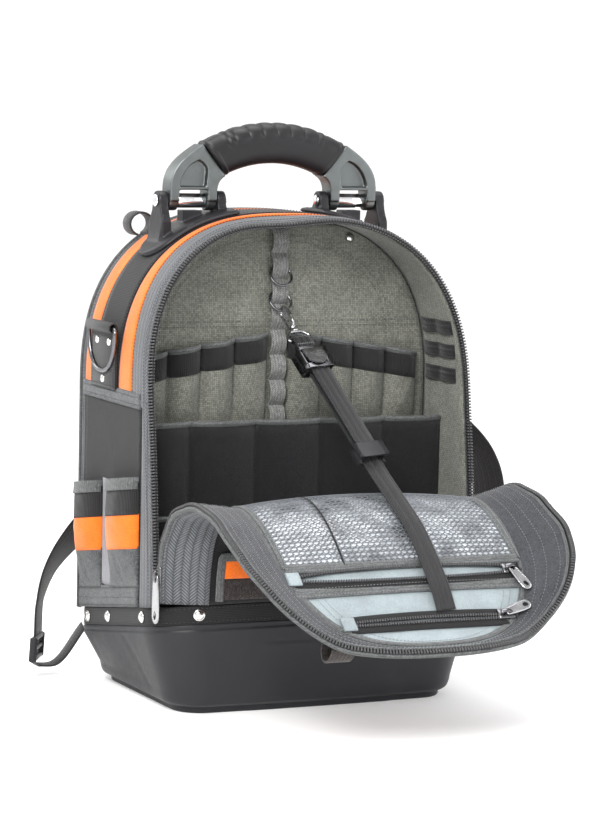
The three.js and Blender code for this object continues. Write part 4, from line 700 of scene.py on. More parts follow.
def build_base():
    rows = [base_row(0, FOOT_INSET + 1, 0), base_row(0, FOOT_INSET, 1.2),
            base_row(0, FOOT_INSET, FOOT_HEIGHT - 1), base_row(0, FOOT_INSET * 0.8, FOOT_HEIGHT),
            base_row(0.01, FOOT_INSET * 0.45, FOOT_HEIGHT + 1)]
    for share in np.linspace(0, 1, 7):
        turn = share * math.pi / 2
        rows.append(base_row(lerp(0.02, WALL_FOOT_GROW, share), FOOT_INSET * 0.35 * (1 - math.sin(turn)),
                             FOOT_HEIGHT + 2 + 11 * (1 - math.cos(turn))))
    for share in np.linspace(0, 1, 30)[1:]:
        rows.append(base_row(lerp(WALL_FOOT_GROW, 1, share), 0,
                             lambda y: lerp(FOOT_HEIGHT + 13, below_band(0)(y) - 6, share)))
    for k, row in enumerate(rows):
        outward = unit(stack(row[:, 0] / 1.4, row[:, 1], 0))
        rows[k] = row - outward * wall_relief(row)[:, None]
    rows += [base_row(1, inset, below_band(drop))
             for inset, drop in ((0.9, 5.2), (1.0, 4.4), (0.1, 3.4), (0, 0.8), (0.6, 0),
                                 (BAND_THICKNESS + GAP, 0))]
    rows += [base_row(1, inset, below_rim(GAP)) for inset in (BAND_THICKNESS + GAP, INNER_INSET)]
    for share in np.linspace(1, 0, 8):
        rows.append(base_row(lerp(WALL_FOOT_GROW, 1, share), INNER_INSET,
                             lambda y: lerp(TUB_TOE, rim_height(y) - GAP - 1, share)))
    rows.append(base_row(0, INNER_INSET + 8, TUB_FLOOR))
    piece("tub", [ring_stack(rows, False)], TUB, slot="tub", replaces="base_tub")

    band = [base_row(1, inset, below_rim(BAND_HEIGHT * (1 - share))) for share, inset in BAND_PROFILE]
    piece("rim_band", [ring_stack(band, True)], SPINE, slot="band_webbing", replaces="base_band")
    rows = []
    for share in (0.13, 0.87):
        line = base_row(1, -0.05, below_rim(BAND_HEIGHT * (1 - share)))
        line = np.vstack([line, line[:1]])
        rows.append(stitches(line, unit(stack(line[:, 0], line[:, 1] * 1.4, 0)), 4.2))
    piece("band_stitches", rows, DARK_THREAD)
    places = [(s * (RIM_HALF_WIDTH + GAP), y, (s, 0, 0)) for s in (-1, 1) for y in (-73, 12, 64)]
    places += [(s * 130, RIM_FRONT - 2.5, (s * 0.25, -1, 0)) for s in (-1, 1)]
    places += [(x, RIM_REAR + GAP, (0, 1, 0)) for x in (-110, -40, 40, 110)]
    domes = [lathe_shape(RIVET_DOME, (x, y, rim_height(y) - BAND_HEIGHT / 2), way, (0, 0, 1))
             for x, y, way in places]
    piece("rivets", domes, RIVET, slot="chrome", replaces=[f"rivet_{k:02d}" for k in range(1, 7)])


# Cloth arch


def front_edge(z):
    share = clamp((z - RIM_HEIGHT_FRONT) / (ARCH_BASE + ARCH_RISE - RIM_HEIGHT_FRONT))
    return lerp(FRONT_EDGE_LOW, FRONT_EDGE_TOP, share ** FRONT_EDGE_POWER)


def arch_turn(away):
    """The angle round the arch, from 0 at its springing to a quarter turn at its crown."""
    return (1 - np.minimum(away, STRAIGHT) / STRAIGHT) * math.pi / 2


def arch_height(share, out):
    away = np.abs(share)
    curved = ARCH_BASE + (ARCH_RISE + out) * np.sin(arch_turn(away)) ** (2 / ARCH_POWER)
    straight = lerp(ARCH_BASE, rim_height(0), (away - STRAIGHT) / (1 - STRAIGHT))
    return np.where(away > STRAIGHT, straight, curved)


def arch_point(share, y, out):
    """A point of the arch, share being 0 at the crown and 1 at the foot of the right side."""
    side = np.where(share < 0, -1.0, 1.0)
    away = np.abs(share)
    x = (ARCH_HALF_WIDTH + out) * np.maximum(0, np.cos(arch_turn(away))) ** (2 / ARCH_POWER)
    x = np.where(away > STRAIGHT, ARCH_HALF_WIDTH + out, x)
    foot = lerp(ARCH_BASE, rim_height(y) + GAP, (away - STRAIGHT) / (1 - STRAIGHT))
    near = np.maximum(0, (BAND_FRONT_Y - y) / (BAND_FRONT_Y - FRONT_EDGE_TOP))
    sag = TOP_SAG * near * bell(side * x, TOP_SAG_PLACE, TOP_SAG_SPREAD)
    z = np.where(away > STRAIGHT, foot, arch_height(share, out) - sag)
    return stack(side * x, y, z)


def share_at(z):
    turn = np.arcsin(clamp((z - ARCH_BASE) / ARCH_RISE) ** (ARCH_POWER / 2))
    curved = STRAIGHT * (1 - turn / (math.pi / 2))
    straight = STRAIGHT + (ARCH_BASE - z) / (ARCH_BASE - rim_height(0)) * (1 - STRAIGHT)
    return np.where(z < ARCH_BASE, straight, curved)


def arch_normal(share, y):
    e = 1e-3
    along = arch_point(share + e, y, 0) - arch_point(share - e, y, 0)
    out = unit(np.cross(along, np.broadcast_to(np.array([0, 1.0, 0]), along.shape)))
    towards = arch_point(share, y, 1) - arch_point(share, y, 0)
    return out * np.sign((out * towards).sum(-1, keepdims=True))


ARCH_ROWS = np.r_[np.linspace(-1, -STRAIGHT, 28)[:-1], np.linspace(-STRAIGHT, STRAIGHT, 121),
                  np.linspace(STRAIGHT, 1, 28)[1:]]


def arch_strip(front, rear, low, high, end=1.0, nu=4, bulge=0.0):
    """A strip over the arch between two lines of depth, each a function of the height."""
    shares = ARCH_ROWS[np.abs(ARCH_ROWS) <= end + 1e-6]
    span = (shares - shares[0]) / (shares[-1] - shares[0])

    def place(a, b, face):
        share = lerp(shares[0], shares[-1], b)
        z = arch_height(share, 0)
        return arch_point(share, lerp(front(z), rear(z), a), lerp(low, high + bulge * hump(a), face))

    return grid_shape(place, nu, 0, edges_b=span)


def arch_line(depth, out, end=1.0):
    """A line over the arch, with its directions outward."""
    shares = ARCH_ROWS[np.abs(ARCH_ROWS) <= end + 1e-6]
    y = depth(arch_height(shares, 0))
    return arch_point(shares, y, out), arch_normal(shares, y)


def at_depth(y):
    return lambda z: np.full(np.shape(z), float(y))


def at_edge(offset):
    return lambda z: front_edge(z) + offset


def stripe_front(z):
    share = clamp((z - ARCH_BASE) / ARCH_RISE)
    return BAND_FRONT_Y - 33 * (1 - 0.75 * share ** 1.5)


def teeth_row(path, up, inward, pitch=2.7, size=(1.7, 3.4, 2.0)):
    """Teeth along a path, each reaching a little inward, which is a direction or a function of the points."""
    p = resample(path, pitch)
    tangent, side, above = frames(p, unit(resample(up, count=len(p))))
    middle = len(p) // 2
    way = inward(p)[middle] if callable(inward) else np.asarray(inward)
    return many_shape(tooth(*size), p, tangent, side * np.sign(side[middle] @ way), above)


def build_shell():
    piece("shell_cloth", [arch_strip(front_edge, at_depth(REAR_EDGE), -CLOTH, 0, nu=16)], GREY_CLOTH,
          slot="grey_cloth", replaces="shell_wall")
    lining = arch_strip(at_edge(1), at_depth(DIVIDER_Y), -CLOTH - 0.9, -CLOTH - 0.1, nu=8)
    piece("shell_lining", [lining], LINING)

    def low_rear(z):
        return np.where(z > ARCH_BASE - 4, np.minimum(stripe_front(z) - 1.2, -20), -64)

    piece("front_band", [arch_strip(at_edge(0.4), low_rear, 0.1, 1.2, nu=12, bulge=1.3)], HERRINGBONE)
    rear_band = arch_strip(at_depth(82), at_depth(REAR_EDGE - 0.2), 0.1, 1.3, nu=4, bulge=0.5)
    piece("rear_band", [rear_band], HERRINGBONE)
    piece("front_stripe", [arch_strip(stripe_front, at_depth(BAND_FRONT_Y - GAP), 0.4, 1.6, STRAIGHT, 6,
                                      0.5)],
          ORANGE, slot="orange_cloth", replaces="stripe_front")
    piece("rear_stripe", [arch_strip(at_depth(BAND_REAR_Y + GAP), at_depth(81), 0.4, 1.6, STRAIGHT, 6, 0.4)],
          ORANGE, slot="orange_cloth", replaces="stripe_rear")
    piece("spine", [arch_strip(at_depth(BAND_FRONT_Y), at_depth(BAND_REAR_Y), 0.3, 2.3, STRAIGHT, 8)], SPINE,
          slot="black_cloth", replaces="spine_band")
    rows = [stitches(*arch_line(depth, out, end), 3.4)
            for depth, out, end in ((at_edge(5), 2.6, 1.0), (lambda z: low_rear(z) - 2.5, 2.4, 1.0),
                                    (at_depth(BAND_FRONT_Y + 2.4), 2.4, STRAIGHT),
                                    (at_depth(BAND_REAR_Y - 2.4), 2.4, STRAIGHT), (at_depth(84.6), 1.9, 1.0))]
    piece("shell_stitches", rows, DARK_THREAD)

    # Front zip: open, with its tape, its teeth and a piping behind them
    tape = arch_strip(at_edge(-GAP - ZIP_WIDTH + 1.2), at_edge(-GAP + 2), -2.6, -1.2, nu=3)
    piece("front_tape", [tape], TAPE, slot="zip", replaces="zipper_shell")
    _, normal = arch_line(at_edge(-0.6), 0.4)
    piping, _ = arch_line(at_edge(-0.8), 0.2)
    piece("front_piping", [tube_shape(piping, normal, 1.3, 8)], BINDING)
    rows = []
    for out, way, height in ((-1.5, 1, 3.0), (-2.4, -1, 1.6)):
        line, normal = arch_line(at_edge(-GAP - ZIP_WIDTH + 3.6), out)
        rows.append(teeth_row(line, way * normal, (0, -1.0, 0), pitch=2.9, size=(1.6, 5.6, height)))
    piece("front_teeth", rows, TEETH)

    # Rear zip: closed, two rows of teeth between two tapes
    tape = arch_strip(at_depth(REAR_EDGE + GAP), at_depth(REAR_EDGE + ZIP_WIDTH + GAP), -3.5, -0.4, nu=4)
    piece("rear_tape", [tape], TAPE, slot="zip", replaces="zipper_rear")
    rows = [teeth_row(*arch_line(at_depth(REAR_EDGE + offset), -0.5), (0, 1.0, 0), size=(1.6, 2.6, 1.5))
            for offset in (3.2, 5.4)]
    piece("rear_teeth", rows, TEETH)
    for k, depth in enumerate((REAR_EDGE - 0.2, REAR_EDGE + ZIP_WIDTH + 0.6)):
        piece(f"rear_piping_{k + 1}", [tube_shape(*arch_line(at_depth(depth), 0.2), 1.6, 8)], BINDING)


# Front cover, folded down

# Each row: share of the reach and of the rise, how much the left and the right border curl, and the drift
FLAP_ROWS = [(0.00, 0.01, 0.56, 0.56, 0.0), (0.01, 0.28, 0.70, 0.70, 0.0), (0.02, 0.52, 0.75, 0.75, 0.1),
             (0.06, 0.81, 0.50, 0.58, 0.3), (0.15, 0.98, 0.21, 0.42, 0.5), (0.27, 1.00, 0.25, 0.58, 0.7),
             (0.43, 0.84, 0.50, 0.92, 0.9), (0.60, 0.56, 0.67, 1.33, 1.0), (0.73, 0.30, 0.83, 1.50, 1.0),
             (0.87, 0.01, 1.00, 1.33, 1.0), (1.00, -0.14, 0.83, 0.92, 1.0)]
FLAP_RUN = TOP_HEIGHT - RIM_HEIGHT_FRONT
FLAP_STRAIGHT = ARCH_BASE - RIM_HEIGHT_FRONT
flap_t = np.linspace(0, 1, 3001)
flap_path = spline([(0, RIM_FRONT - FLAP_REACH * reach, RIM_HEIGHT_FRONT + FLAP_RISE * rise + 1)
                    for reach, rise, *_ in FLAP_ROWS], flap_t)
flap_run = run_along(flap_path)
flap_tangent = course(flap_path)
NET_ACROSS, NET_ALONG, NET_STEPS = 40, 24, 3
STRAND = [(0.62, 0), (0, 0.32), (-0.62, 0), (0, -0.32)]
UPPER_ZIP_V, LOWER_ZIP_V = MESH_BOTTOM + 14, MESH_BOTTOM + 72.5
COVER_POCKET_HALF = 112


def flap_column(column, t):
    values = np.array([r[column] for r in FLAP_ROWS])
    place = clamp(t) * (len(values) - 1)
    row = np.minimum(len(values) - 2, place.astype(int))
    return lerp(values[row], values[row + 1], smooth(place - row))


def outline_share(u, v, side_inset, end_inset):
    side = np.abs(u) / (ARCH_HALF_WIDTH - side_inset)
    end = np.maximum(0, v - FLAP_STRAIGHT) / (ARCH_RISE - end_inset)
    return (side ** ARCH_POWER + end ** ARCH_POWER) ** (1 / ARCH_POWER)


def border_raise(u, v):
    past = np.maximum(0, outline_share(u, v, FLAP_BORDER, END_BORDER) - 1)
    left = np.maximum(0, 1 - outline_share(u, v, 0, 0))
    side = smooth((np.abs(u) - 80) / (ARCH_HALF_WIDTH - 80))
    return side * past / np.maximum(past + left, 1e-9)


def flap_point(u, v, w):
    """u across and v along the flat cover, w above its inner face."""
    u, v, w = np.broadcast_arrays(np.asarray(u, float), v, w)
    t = np.interp(clamp(v / FLAP_RUN) * flap_run[-1], flap_run, flap_t)
    centre = np.stack([np.interp(t, flap_t, flap_path[:, k]) for k in range(3)], -1)
    tangent = unit(np.stack([np.interp(t, flap_t, flap_tangent[:, k]) for k in range(3)], -1))
    normal = np.stack([np.zeros_like(t), tangent[..., 2], -tangent[..., 1]], -1)
    mix = clamp(u / ARCH_HALF_WIDTH + 0.5)
    lift = FLAP_LIFT * border_raise(u, v) * lerp(flap_column(2, t), flap_column(3, t), mix)
    beyond = np.maximum(0, v - FLAP_RUN)
    shift = stack(u + FLAP_DRIFT * flap_column(4, t), 0, 0)
    return centre + normal * (lift + w)[..., None] + tangent * beyond[..., None] + shift


def outline_point(a, side_inset, end_inset):
    """A point of the flat cover's outline, a being 0 at the far end and 1 at the foot of the right side."""
    side = np.where(a < 0, -1.0, 1.0)
    away = np.abs(a)
    half = ARCH_HALF_WIDTH - side_inset
    turn = arch_turn(away)
    u = np.where(away > STRAIGHT, half, half * np.maximum(0, np.cos(turn)) ** (2 / ARCH_POWER))
    v = np.where(away > STRAIGHT, FLAP_STRAIGHT * (1 - away) / (1 - STRAIGHT),
                 FLAP_STRAIGHT + (ARCH_RISE - end_inset) * np.sin(turn) ** (2 / ARCH_POWER))
    return side * u, v


def flap_normal(u, v):
    return unit(flap_point(u, v, 1.0) - flap_point(u, v, 0.0))


def flap_line(u, v, w):
    """A line on the cover with the directions up from it."""
    return flap_point(u, v, w), flap_normal(u, v)


def flap_rim(inner, outer, low, high, nu=6, bulge=0.0):
    """A strip along the cover's outline, each edge given as insets at the sides and the end."""
    def flat(a, b):
        return outline_point(lerp(-1, 1, b), lerp(inner[0], outer[0], a), lerp(inner[1], outer[1], a))

    def place(a, b, face):
        return flap_point(*flat(a, b), lerp(low, high + bulge * hump(a), face))

    return grid_shape(place, nu, 0, flat, edges_b=(ARCH_ROWS + 1) / 2)


def flap_patch(u0, u1, v0, v1, low, high, nu, nv, rise):
    """A patch on the cover, standing out by rise at each shares and place."""
    def flat(a, b):
        return lerp(u0, u1, a), lerp(v0, v1, b)

    def place(a, b, face):
        u, v = flat(a, b)
        return flap_point(u, v, lerp(low, high, face) + rise(a, b, u, v))

    return grid_shape(place, nu, nv, flat)


def rim_line(side_inset, end_inset, w):
    return flap_line(*outline_point(ARCH_ROWS, side_inset, end_inset), w)


def mesh_bow(along):
    return hump(clamp(along * 0.62), 0.8)


def mesh_rise(u, v):
    """Height of the net pocket's front over its backing."""
    across = clamp((u + MESH_HALF) / (2 * MESH_HALF))
    along = clamp((MESH_BOTTOM - v) / (MESH_BOTTOM - MESH_TOP))
    return MESH_BULGE * hump(across, 0.7) * mesh_bow(along)


def sewn_band(line, normal, width, height, aside, bands, marks):
    """Adds a band and the row of stitches near each of its edges."""
    bands.append(strip_shape(line, normal, width, height))
    _, side, above = frames(line, normal)
    for edge in (-aside, aside):
        marks.append(stitches(line + side * edge + above * height / 2, above, 3.2, 2.2))


def build_flap():
    def panel_flat(a, b):
        half, v = outline_point(1 - b * 0.985, FLAP_ZIP + 3, FLAP_ZIP + 3)
        return (a * 2 - 1) * half, v

    def liner_place(a, b, face):
        u, v = panel_flat(a, b)
        soft = 0.5 * ripple(u, v, 46, 4) * smooth((1 - outline_share(u, v, 20, 10)) * 4)
        return flap_point(u, v, lerp(-FLAP_THICKNESS, 0, face) + soft)

    def back_place(a, b, face):
        return flap_point(*panel_flat(a, b), -FLAP_THICKNESS - lerp(0.1, 1.0, face))

    rows = np.linspace(0, 1, 73)
    liner = grid_shape(liner_place, 64, 0, panel_flat, edges_b=rows)
    piece("flap_liner", [liner], LIGHT_CLOTH, slot="light_cloth", replaces="flap_panel")
    piece("flap_back", [grid_shape(back_place, 48, 0, panel_flat, edges_b=rows)], DARK_CLOTH)

    # The border: grey cloth with three rows of stitches, gone at the far end
    inner, outer = (FLAP_BORDER, END_BORDER - 1), FLAP_ZIP + 0.5
    border = flap_rim(inner, (outer, outer), -0.2, 0.9, nu=14, bulge=1.1)
    piece("flap_border_cloth", [border], BORDER, slot="grey_cloth", replaces="flap_border")
    lines = [stitches(*rim_line(lerp(inner[0], FLAP_ZIP, share), lerp(inner[1], FLAP_ZIP, share), 2.2), 3.6)
             for share in (0.28, 0.52, 0.80)]
    piece("flap_border_stitches", lines, THREAD)
    line, normal = rim_line(FLAP_BORDER + 0.5, END_BORDER + 4, 0.8)
    piece("flap_inner_binding", [strip_shape(line, normal, 5.5, 1.6)], BINDING)

    # Zip round the cover: tape, teeth and the grey piping outside
    tape = flap_rim((FLAP_ZIP + 3, FLAP_ZIP + 3), (1.0, 1.0), -1.6, 0.2, nu=3)
    piece("flap_tape", [tape], TAPE, slot="zip", replaces="zipper_flap")
    centre = flap_point(0, 150, 0)
    teeth = teeth_row(*rim_line(2.2, 2.2, 0.2), lambda p: centre - p, pitch=2.9, size=(1.7, 4.6, 2.6))
    piece("flap_teeth", [teeth], TEETH)
    piece("flap_zip_binding", [tube_shape(*rim_line(FLAP_ZIP + 1.2, FLAP_ZIP + 1.2, 1.0), 1.5, 8)], BINDING)
    piece("flap_edge_piping", [tube_shape(*rim_line(1.6, 1.6, -3.2), 2.4, 10)], BINDING)
    below = -FLAP_THICKNESS - 0.6
    outer_band = flap_rim((FLAP_BORDER, FLAP_BORDER * 0.5), (3, 3), below - 1.6, below, nu=10)
    piece("flap_outer_band", [outer_band], HERRINGBONE)
    build_mesh_pocket()
    build_cover_zips()
    build_outer_pockets()


def build_mesh_pocket():
    half, run = MESH_HALF, MESH_BOTTOM - MESH_TOP

    def film_rise(a, b, u, v):
        return mesh_rise(u, v) * 0.86 + 0.9 * ripple(u, v, 34, 11) * hump(a, 1) * hump(b, 1)

    film = flap_patch(-half, half, MESH_BOTTOM, MESH_TOP, 0.3, 0.8, 90, 56, film_rise)
    pocket = piece("pocket_film", [film], FILM, slot="mesh", replaces="mesh_pocket")
    strands = []
    b = np.linspace(0, NET_ALONG, NET_ALONG * NET_STEPS + 1)
    v = MESH_BOTTOM - b * (run / NET_ALONG)
    for way in (-1, 1):
        for i in range(-NET_ALONG, NET_ACROSS + NET_ALONG):
            lane = i + (b if way > 0 else NET_ALONG - b) + 0.28 * way * np.sin(2 * math.pi * b)
            u = -half + lane * (2 * half / NET_ACROSS)
            keep = np.abs(u) < half - 1
            if keep.sum() < 4:
                continue
            line, normal = flap_line(u[keep], v[keep], mesh_rise(u[keep], v[keep]) + 1.6)
            _, side, above = frames(line, normal)
            strands.append(sweep_shape(line, side, above, STRAND))
    piece("pocket_net", strands, NET, slot="mesh")

    b = np.linspace(0, 1, 60)
    across, along = lerp(-half, half, b), lerp(MESH_TOP, MESH_BOTTOM, b)
    bands, marks = [], []
    for u, v, width in ((across, MESH_TOP, 9), (across, MESH_BOTTOM, 11), (half, along, 7),
                        (-half, along, 6)):
        line, normal = flap_line(u, v, mesh_rise(u, v) + 1.9)
        bands.append(strip_shape(line, normal, width, 1.7))
        _, side, above = frames(line, normal)
        marks += [stitches(line + side * width * aside + above * 0.8, above, 3.2, 2.2) for aside in (-0.32,
                                                                                                     0.32)]
    piece("pocket_bindings", bands, BINDING)
    seam = lerp(-54, -58, b)
    line, normal = flap_line(seam, along, mesh_rise(seam, along) + 1.5)
    piece("pocket_seam", [tube_shape(line, normal, 1.1, 6)], DARK_CLOTH)
    piece("pocket_stitches", marks, THREAD)


def zip_pair(u0, u1, middle, gap, name, replaces):
    """A short zip, open in its middle: two rows of teeth on tapes that part and meet at the ends."""
    b = np.linspace(0, 1, 90)
    outward = flap_point(0.0, 400.0, 0.0) - flap_point(0.0, 200.0, 0.0)
    tapes, teeth = [], []
    for side in (-1, 1):
        line, normal = flap_line(lerp(u0, u1, b), middle(b) + side * (gap * hump(b, 0.5) / 2 + 1.4), 2.2)
        _, aside, above = frames(line, normal)
        toward = np.sign(aside[len(b) // 2] @ outward) * side
        tapes.append(strip_shape(line + aside * toward * 3.4 - above * 0.6, normal, 8.5, 1.2))
        p = resample(line, 2.5)
        tangent, aside, above = frames(p, unit(resample(normal, count=len(p))))
        shift = 1.25 if side > 0 else 0
        teeth.append(many_shape(tooth(1.5, 3.2, 1.9), p + tangent * shift, tangent, aside, above))
    piece(name + "_tape", tapes, TAPE, slot="zip", replaces=replaces)
    piece(name + "_teeth", teeth, TEETH)


def build_cover_zips():
    zip_pair(-MESH_HALF + 6, MESH_HALF - 4, lambda b: UPPER_ZIP_V - 2 * hump(b, 1), 13, "upper_zip",
             "flap_zip_upper")
    zip_pair(-76, 80, lambda b: LOWER_ZIP_V - 1.5 * hump(b, 1), 3, "lower_zip", "flap_zip_lower")
    b = np.linspace(0, 1, 60)
    bands, marks = [], []
    sewn_band(*flap_line(lerp(-MESH_HALF, MESH_HALF - 4, b), MESH_BOTTOM + 31 - 2 * hump(b, 1), 1.4), 12,
              1.4, 4, bands, marks)
    piece("zip_webbing", bands, BINDING)
    piece("zip_webbing_stitches", marks, THREAD)
    ends = []
    for u, v in ((-MESH_HALF + 2, UPPER_ZIP_V), (-79, LOWER_ZIP_V - 0.5)):
        ends.append(strip_shape(*flap_line(np.linspace(u - 5, u + 8, 8), v, 3.2), 15, 2.0))
    piece("zip_end_tabs", ends, LIGHT_CLOTH)
    rows = []
    keep = np.abs(ARCH_ROWS) < 0.36
    for inset in (14, 20):
        line, normal = rim_line(FLAP_BORDER + inset, inset, 0.4)
        rows.append(stitches(line[keep], normal[keep], 3.4))
    piece("liner_stitches", rows, THREAD)


def build_outer_pockets():
    out, half = -FLAP_THICKNESS - 2.6, COVER_POCKET_HALF

    def patch(v0, v1, low, high, nv, depth):
        def bow(a, b, u, v):
            return -depth * hump(a) * hump(0.15 + 0.8 * b, 0.8)
        return [flap_patch(-half, half, v0, v1, out - low, out - high, 40, nv, bow)]

    def bag(a, b, u, v):
        return -11 * hump(a, 0.7) * hump(b, 0.7)

    piece("outer_pocket_webbing", patch(5, 27, 1.6, 0, 8, 4), BROWN_WEBBING)
    piece("outer_pocket_orange", patch(27, 49, 1.4, 0.2, 8, 5), ORANGE)
    far = flap_patch(-half, half, 66, 226, out - 1.8, out, 44, 40, bag)
    piece("outer_pocket_panel", [far], BROWN_WEBBING, slot="black_cloth", replaces="flap_outer_pocket")
    edge, n = half + 1.0, 70
    u = np.r_[np.full(20, -edge), np.linspace(-edge, edge, n), np.full(20, edge)]
    v = np.r_[np.linspace(4, 50, 20), np.full(n, 50.0), np.linspace(50, 4, 20)]
    path = resample(flap_point(u, v, out - 2.2), 2.5)
    piece("outer_pocket_binding", [strip_shape(path, (0, -1.0, 0.05), 8, 2.2)], BINDING)
    piece("outer_pocket_stripe", patch(226, 244, 3.0, 0.6, 6, 3), ORANGE)


# Inside


def arch_half_width(z, inset):
    rise = clamp((z - ARCH_BASE) / (ARCH_RISE - inset))
    return (ARCH_HALF_WIDTH - inset) * np.maximum(0, 1 - rise ** ARCH_POWER) ** (1 / ARCH_POWER)


def bay_half_width(z, y):
    grow = lerp(WALL_FOOT_GROW, 1, clamp((z - TUB_TOE) / (rim_height(y) - TUB_TOE)))
    toe = (RIM_HALF_WIDTH - BASE_HALF_WIDTH) * WALL_FOOT_GROW + 8
    tub = lerp(BASE_HALF_WIDTH, RIM_HALF_WIDTH, grow) - INNER_INSET - toe * clamp((TUB_TOE - z) / 8) - 0.6
    cloth = arch_half_width(z, CLOTH + 1.2)
    return np.where(z < rim_height(y) + 1, np.minimum(tub, cloth), cloth)


def pocket_row(name, x0, x1, count, bottom, top, wall, bulge, cloth, replaces, elastic=0):
    """A row of pockets on the cloth behind it, top(a) being its height at each share across."""
    across = count * 16

    def fullness(a, share):
        """A point's place across and up, and how far the pocket swells there."""
        z = lerp(bottom, top(a), share)
        half = bay_half_width(z, wall) - 0.4
        x = np.clip(lerp(x0, x1, a), -half, half)
        return x, z, np.abs(np.sin(math.pi * a * count)) ** 0.6 * np.sin(share * math.pi * 0.55)

    def sheet(start, out, thick, steps):
        def place(a, b, face):
            share = lerp(start(a), 1, b)
            x, z, full = fullness(a, share)
            pleat = 0.7 * ripple(x, z, 17, 9) * full * smooth((1 - share) * 4)
            return stack(x, wall - thick * face - bulge * full - out + pleat, z)
        return [grid_shape(place, across, steps)]

    piece(name, sheet(lambda a: 0 * a, 0, 1.8, 18), cloth, slot="grey_cloth", replaces=replaces)
    if elastic:
        piece(name + "_elastic", sheet(lambda a: 1 - elastic / (top(a) - bottom), 1.7, 0.9, 4), ELASTIC)
    x, z, full = fullness(np.linspace(0, 1, across + 1), 1.0)
    line = stack(x, wall - 1.6 - bulge * full, z)
    piece(name + "_binding", [tube_shape(line, (0, 0, 1), 1.7, 8, squash=1.7)], BINDING)


def build_inside():
    def divider_place(a, b, face):
        z = lerp(TUB_FLOOR + GAP, TOP_HEIGHT - CLOTH - 6, b)
        x = (a * 2 - 1) * np.maximum(bay_half_width(z, DIVIDER_Y) - 0.6, 3)
        soft = ripple(x, z, 60, 5) * np.sin(math.pi * a) * smooth(b * 4) * smooth((1 - b) * 6)
        return stack(x, DIVIDER_Y + (1 - face) * CLOTH + soft * face - 0.5 * face, z)

    piece("divider", [grid_shape(divider_place, 60, 90)], LINING, slot="grey_cloth", replaces="divider_panel")
    x, front = np.linspace(-148, 148, 60), (0, -1, 0)
    turn = np.linspace(0.05, math.pi - 0.05, 90)
    bow = stack(np.cos(turn) * 118, DIVIDER_Y - 1.8, 330 + np.sin(turn) ** 0.8 * 104)
    lines = [stack(x, DIVIDER_Y - 1.6, z) for z in (356, 351)]
    lines += [bow, bow + unit(bow - np.array([0, DIVIDER_Y, 330])) * 5]
    piece("divider_stitches", [stitches(line, front, 3.4) for line in lines], DARK_THREAD)
    stud = [(5.2, 0), (5.2, 0.6), (4.4, 1.2), (4.0, 2.4), (2.8, 3.5), (0.01, 4.0)]
    piece("divider_stud", [lathe_shape(stud, (76, DIVIDER_Y - 0.8, 436), front, (0, 0, 1))], RIVET)

    # Pocket rows: the upper ones slope down to the sides
    pocket_row("upper_pockets_left", -150, -11.2, 4, 236, lambda a: 344 - 22 * (1 - a), DIVIDER_Y - GAP, 16,
               LINING, "pocket_row_upper_left", 24)
    pocket_row("upper_pockets_right", 11.2, 150, 4, 236, lambda a: 344 - 22 * a, DIVIDER_Y - GAP, 16, LINING,
               "pocket_row_upper_right", 24)
    pocket_row("middle_pockets", -170, 170, 5, 22, lambda a: 262, -22, 11.2, DARK_CLOTH, "pocket_row_middle")
    pocket_row("front_pockets", -170, 170, 3, 22, lambda a: 178, -56, 11.2, DARK_CLOTH, "pocket_row_front")

    # Webbing with its loops and rings
    z = np.linspace(WEBBING_TOP, WEBBING_TOP - WEBBING_RUN, WEBBING_LOOPS * 14 + 1)
    wave = np.abs(np.sin(math.pi * (WEBBING_TOP - z) / WEBBING_RUN * WEBBING_LOOPS)) ** 0.8
    line = stack(0, DIVIDER_Y - 1.6 - 7 * wave, z)
    piece("webbing_loops", [strip_shape(line, front, 16, 1.4)], GREY_WEBBING, slot="grey_webbing",
          replaces="webbing_column")
    pitch = WEBBING_RUN / WEBBING_LOOPS
    tacks = [stitches(stack(np.linspace(-7, 7, 8), DIVIDER_Y - 2.6, WEBBING_TOP - k * pitch), front, 1.8, 1.5)
             for k in range(WEBBING_LOOPS + 1)]
    piece("webbing_tacks", tacks, DARK_THREAD)
    turn, lean = full_turn(48), (0, math.cos(RING_TILT), -math.sin(RING_TILT))
    for word, loop in (("upper", 2), ("lower", 3)):
        fall = RING_RADIUS * (1 - np.sin(turn))
        ring = stack(np.cos(turn) * RING_RADIUS, DIVIDER_Y - RING_OUT - math.sin(RING_TILT) * fall,
                     WEBBING_TOP - (loop - 0.5) * pitch - math.cos(RING_TILT) * fall)
        piece(f"webbing_ring_{word}", [tube_shape(ring, lean, 1.3, 10, closed=True)], DARK_METAL,
              slot="dark_metal", replaces=f"ring_{word}")

    # Rows of webbing on the right wall
    y = np.linspace(-60, 2, 24)
    out = -CLOTH - 1.6 - 1.6 * np.abs(np.sin(math.pi * (y + 60) / 31))
    bands = []
    for height in (306, 330, 354):
        share = np.full(24, float(share_at(height)))
        bands.append(strip_shape(arch_point(share, y, out), -arch_normal(share, y), 14, 1.4))
    piece("wall_webbing", bands, WEBBING)


# Side pockets, ring tabs and rings

HEM, POCKET_TOP = 22, 122
POCKET_LEVELS = [0, 10, 24, 44, 60, 80, 104, POCKET_TOP]
POCKET_FULLNESS = [0, 0, 0.02, 0.55, 0.85, 1.0, 0.94, 0.85]
RING_Y, TAB_LOW, RING_BAR_Z = 27, 294, 356 - 4.1
RING_WIRE, RING_HALF, RING_LENGTH = 2.2, 31 + 2.2 + 0.6, 42


def side_sheet(side, y0, y1, low, high, out, thick, nu, nv, swell):
    """Cloth flat on a side of the pack, low and high being functions of the depth."""
    def place(a, b, face):
        y = lerp(y0, y1, a)
        x = ARCH_HALF_WIDTH + out + thick * face + swell(a, b)
        return stack(side * x, y, lerp(low(y), high(y), b))
    return [grid_shape(place, nu, nv)]


